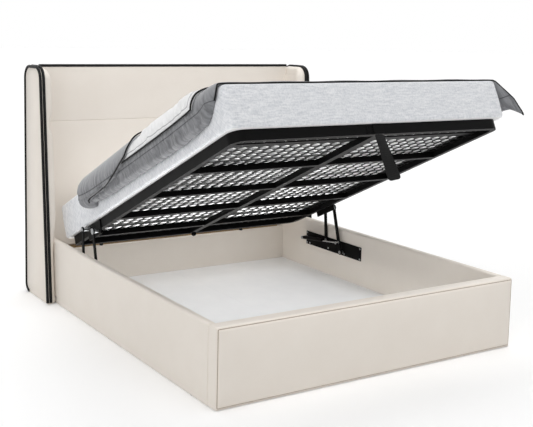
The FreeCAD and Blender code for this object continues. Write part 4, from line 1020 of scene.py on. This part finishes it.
# Matt paper: near white, with no shine, and a little paler to the eye than the light on it makes it.
paper, tree, shader = new_material(
    "pale studio paper", Base_Color=linear("#FBFBFB"), Roughness=0.95, Specular_IOR_Level=0.0,
    Emission_Color=(1.0, 1.0, 1.0, 1.0),
)[:3]
glow = add_node(tree, "ShaderNodeMath", {0: seen_plainly(tree), 1: PAPER_GLOW}, operation="MULTIPLY")
tree.links.new(glow.outputs[0], shader.inputs["Emission Strength"])
floor_mesh.materials.append(paper)

world = bpy.data.worlds.new("white surround")
bpy.context.scene.world = world
world.use_nodes = True
tree = world.node_tree
tree.nodes.clear()
sky = add_node(tree, "ShaderNodeBackground", {"Color": (1, 1, 1, 1), "Strength": SKY})
plain = add_node(tree, "ShaderNodeBackground", {"Color": (1, 1, 1, 1), "Strength": 1.0})
mixed = add_node(tree, "ShaderNodeMixShader", {0: seen_plainly(tree), 1: sky.outputs[0], 2: plain.outputs[0]})
add_node(tree, "ShaderNodeOutputWorld", {"Surface": mixed.outputs[0]})

for name, energy, rise, swing in (("high_lamp", 1.20, 76, -140), ("front_lamp", 0.52, 25, 62)):
    lamp = bpy.data.lights.new(name, "SUN")
    lamp.energy = energy
    lamp.angle = math.radians(SUN_WIDTH)
    holder = placed(name, lamp)
    holder.rotation_euler = (math.radians(90 - rise), 0.0, math.radians(-swing))

for name, energy, at, aim, wide, high, spread in (
    ("headboard_lamp", 4.7, (-0.4, -0.8, 3.2), (0.0, 1.0, 0.95), 2.2, 0.8, 60),
    ("foot_lamp", 0.8, (0.0, -1.27, 1.05), (0.0, -1.0, 0.36), 1.8, 0.1, 60),
    ("box_lamp", 3.8, (0.0, -0.05, 0.28), (0.0, -0.05, 0.0), 1.4, 1.7, 170),
    ("bounce_lamp", 19.0, (0.0, -0.05, 0.07), (0.0, -0.05, 1.0), 1.4, 1.7, 80),
):
    lamp = bpy.data.lights.new(name, "AREA")
    lamp.shape = "RECTANGLE"
    lamp.size, lamp.size_y = wide, high
    lamp.spread = math.radians(spread)
    lamp.energy = energy
    holder = placed(name, lamp)
    holder.location = at
    holder.rotation_euler = (Vector(aim) - Vector(at)).to_track_quat("-Z", "Y").to_euler()
    holder.visible_camera = False

# Camera: at the photograph's place and angle, a little above the headboard's top, left of the foot. Its
# picture's centre is off the middle by a small shift.
CAMERA_AT = (-2.8221, -4.4084, 1.5848)
YAW, PITCH, ROLL = math.radians(32.83), math.radians(-7.09), math.radians(1.315)
FOCAL_PIXELS, CENTRE = 965.46, (260.70, 149.77)
PICTURE = (533, 427)
SENSOR = 36
look = np.array((math.sin(YAW) * math.cos(PITCH), math.cos(YAW) * math.cos(PITCH), math.sin(PITCH)))
across = np.array((math.cos(YAW), -math.sin(YAW), 0.0))
upward = np.cross(across, look)
right = math.cos(ROLL) * across + math.sin(ROLL) * upward
above = math.cos(ROLL) * upward - math.sin(ROLL) * across
lens = bpy.data.cameras.new("photo camera")
lens.sensor_width = SENSOR
lens.lens = SENSOR * FOCAL_PIXELS / PICTURE[0]
lens.shift_x = (PICTURE[0] / 2 - CENTRE[0]) / PICTURE[0]
lens.shift_y = (CENTRE[1] - PICTURE[1] / 2) / PICTURE[0]
lens.clip_end = 200
camera = placed("photo_camera", lens)
turn = np.eye(4)
turn[:3, 0], turn[:3, 1], turn[:3, 2], turn[:3, 3] = right, above, -look, CAMERA_AT
camera.matrix_world = Matrix(turn.tolist())
bpy.context.scene.camera = camera

boxes = {"cad": [list(corner) for corner in cad_box], "visual": [list(corner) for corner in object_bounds()]}
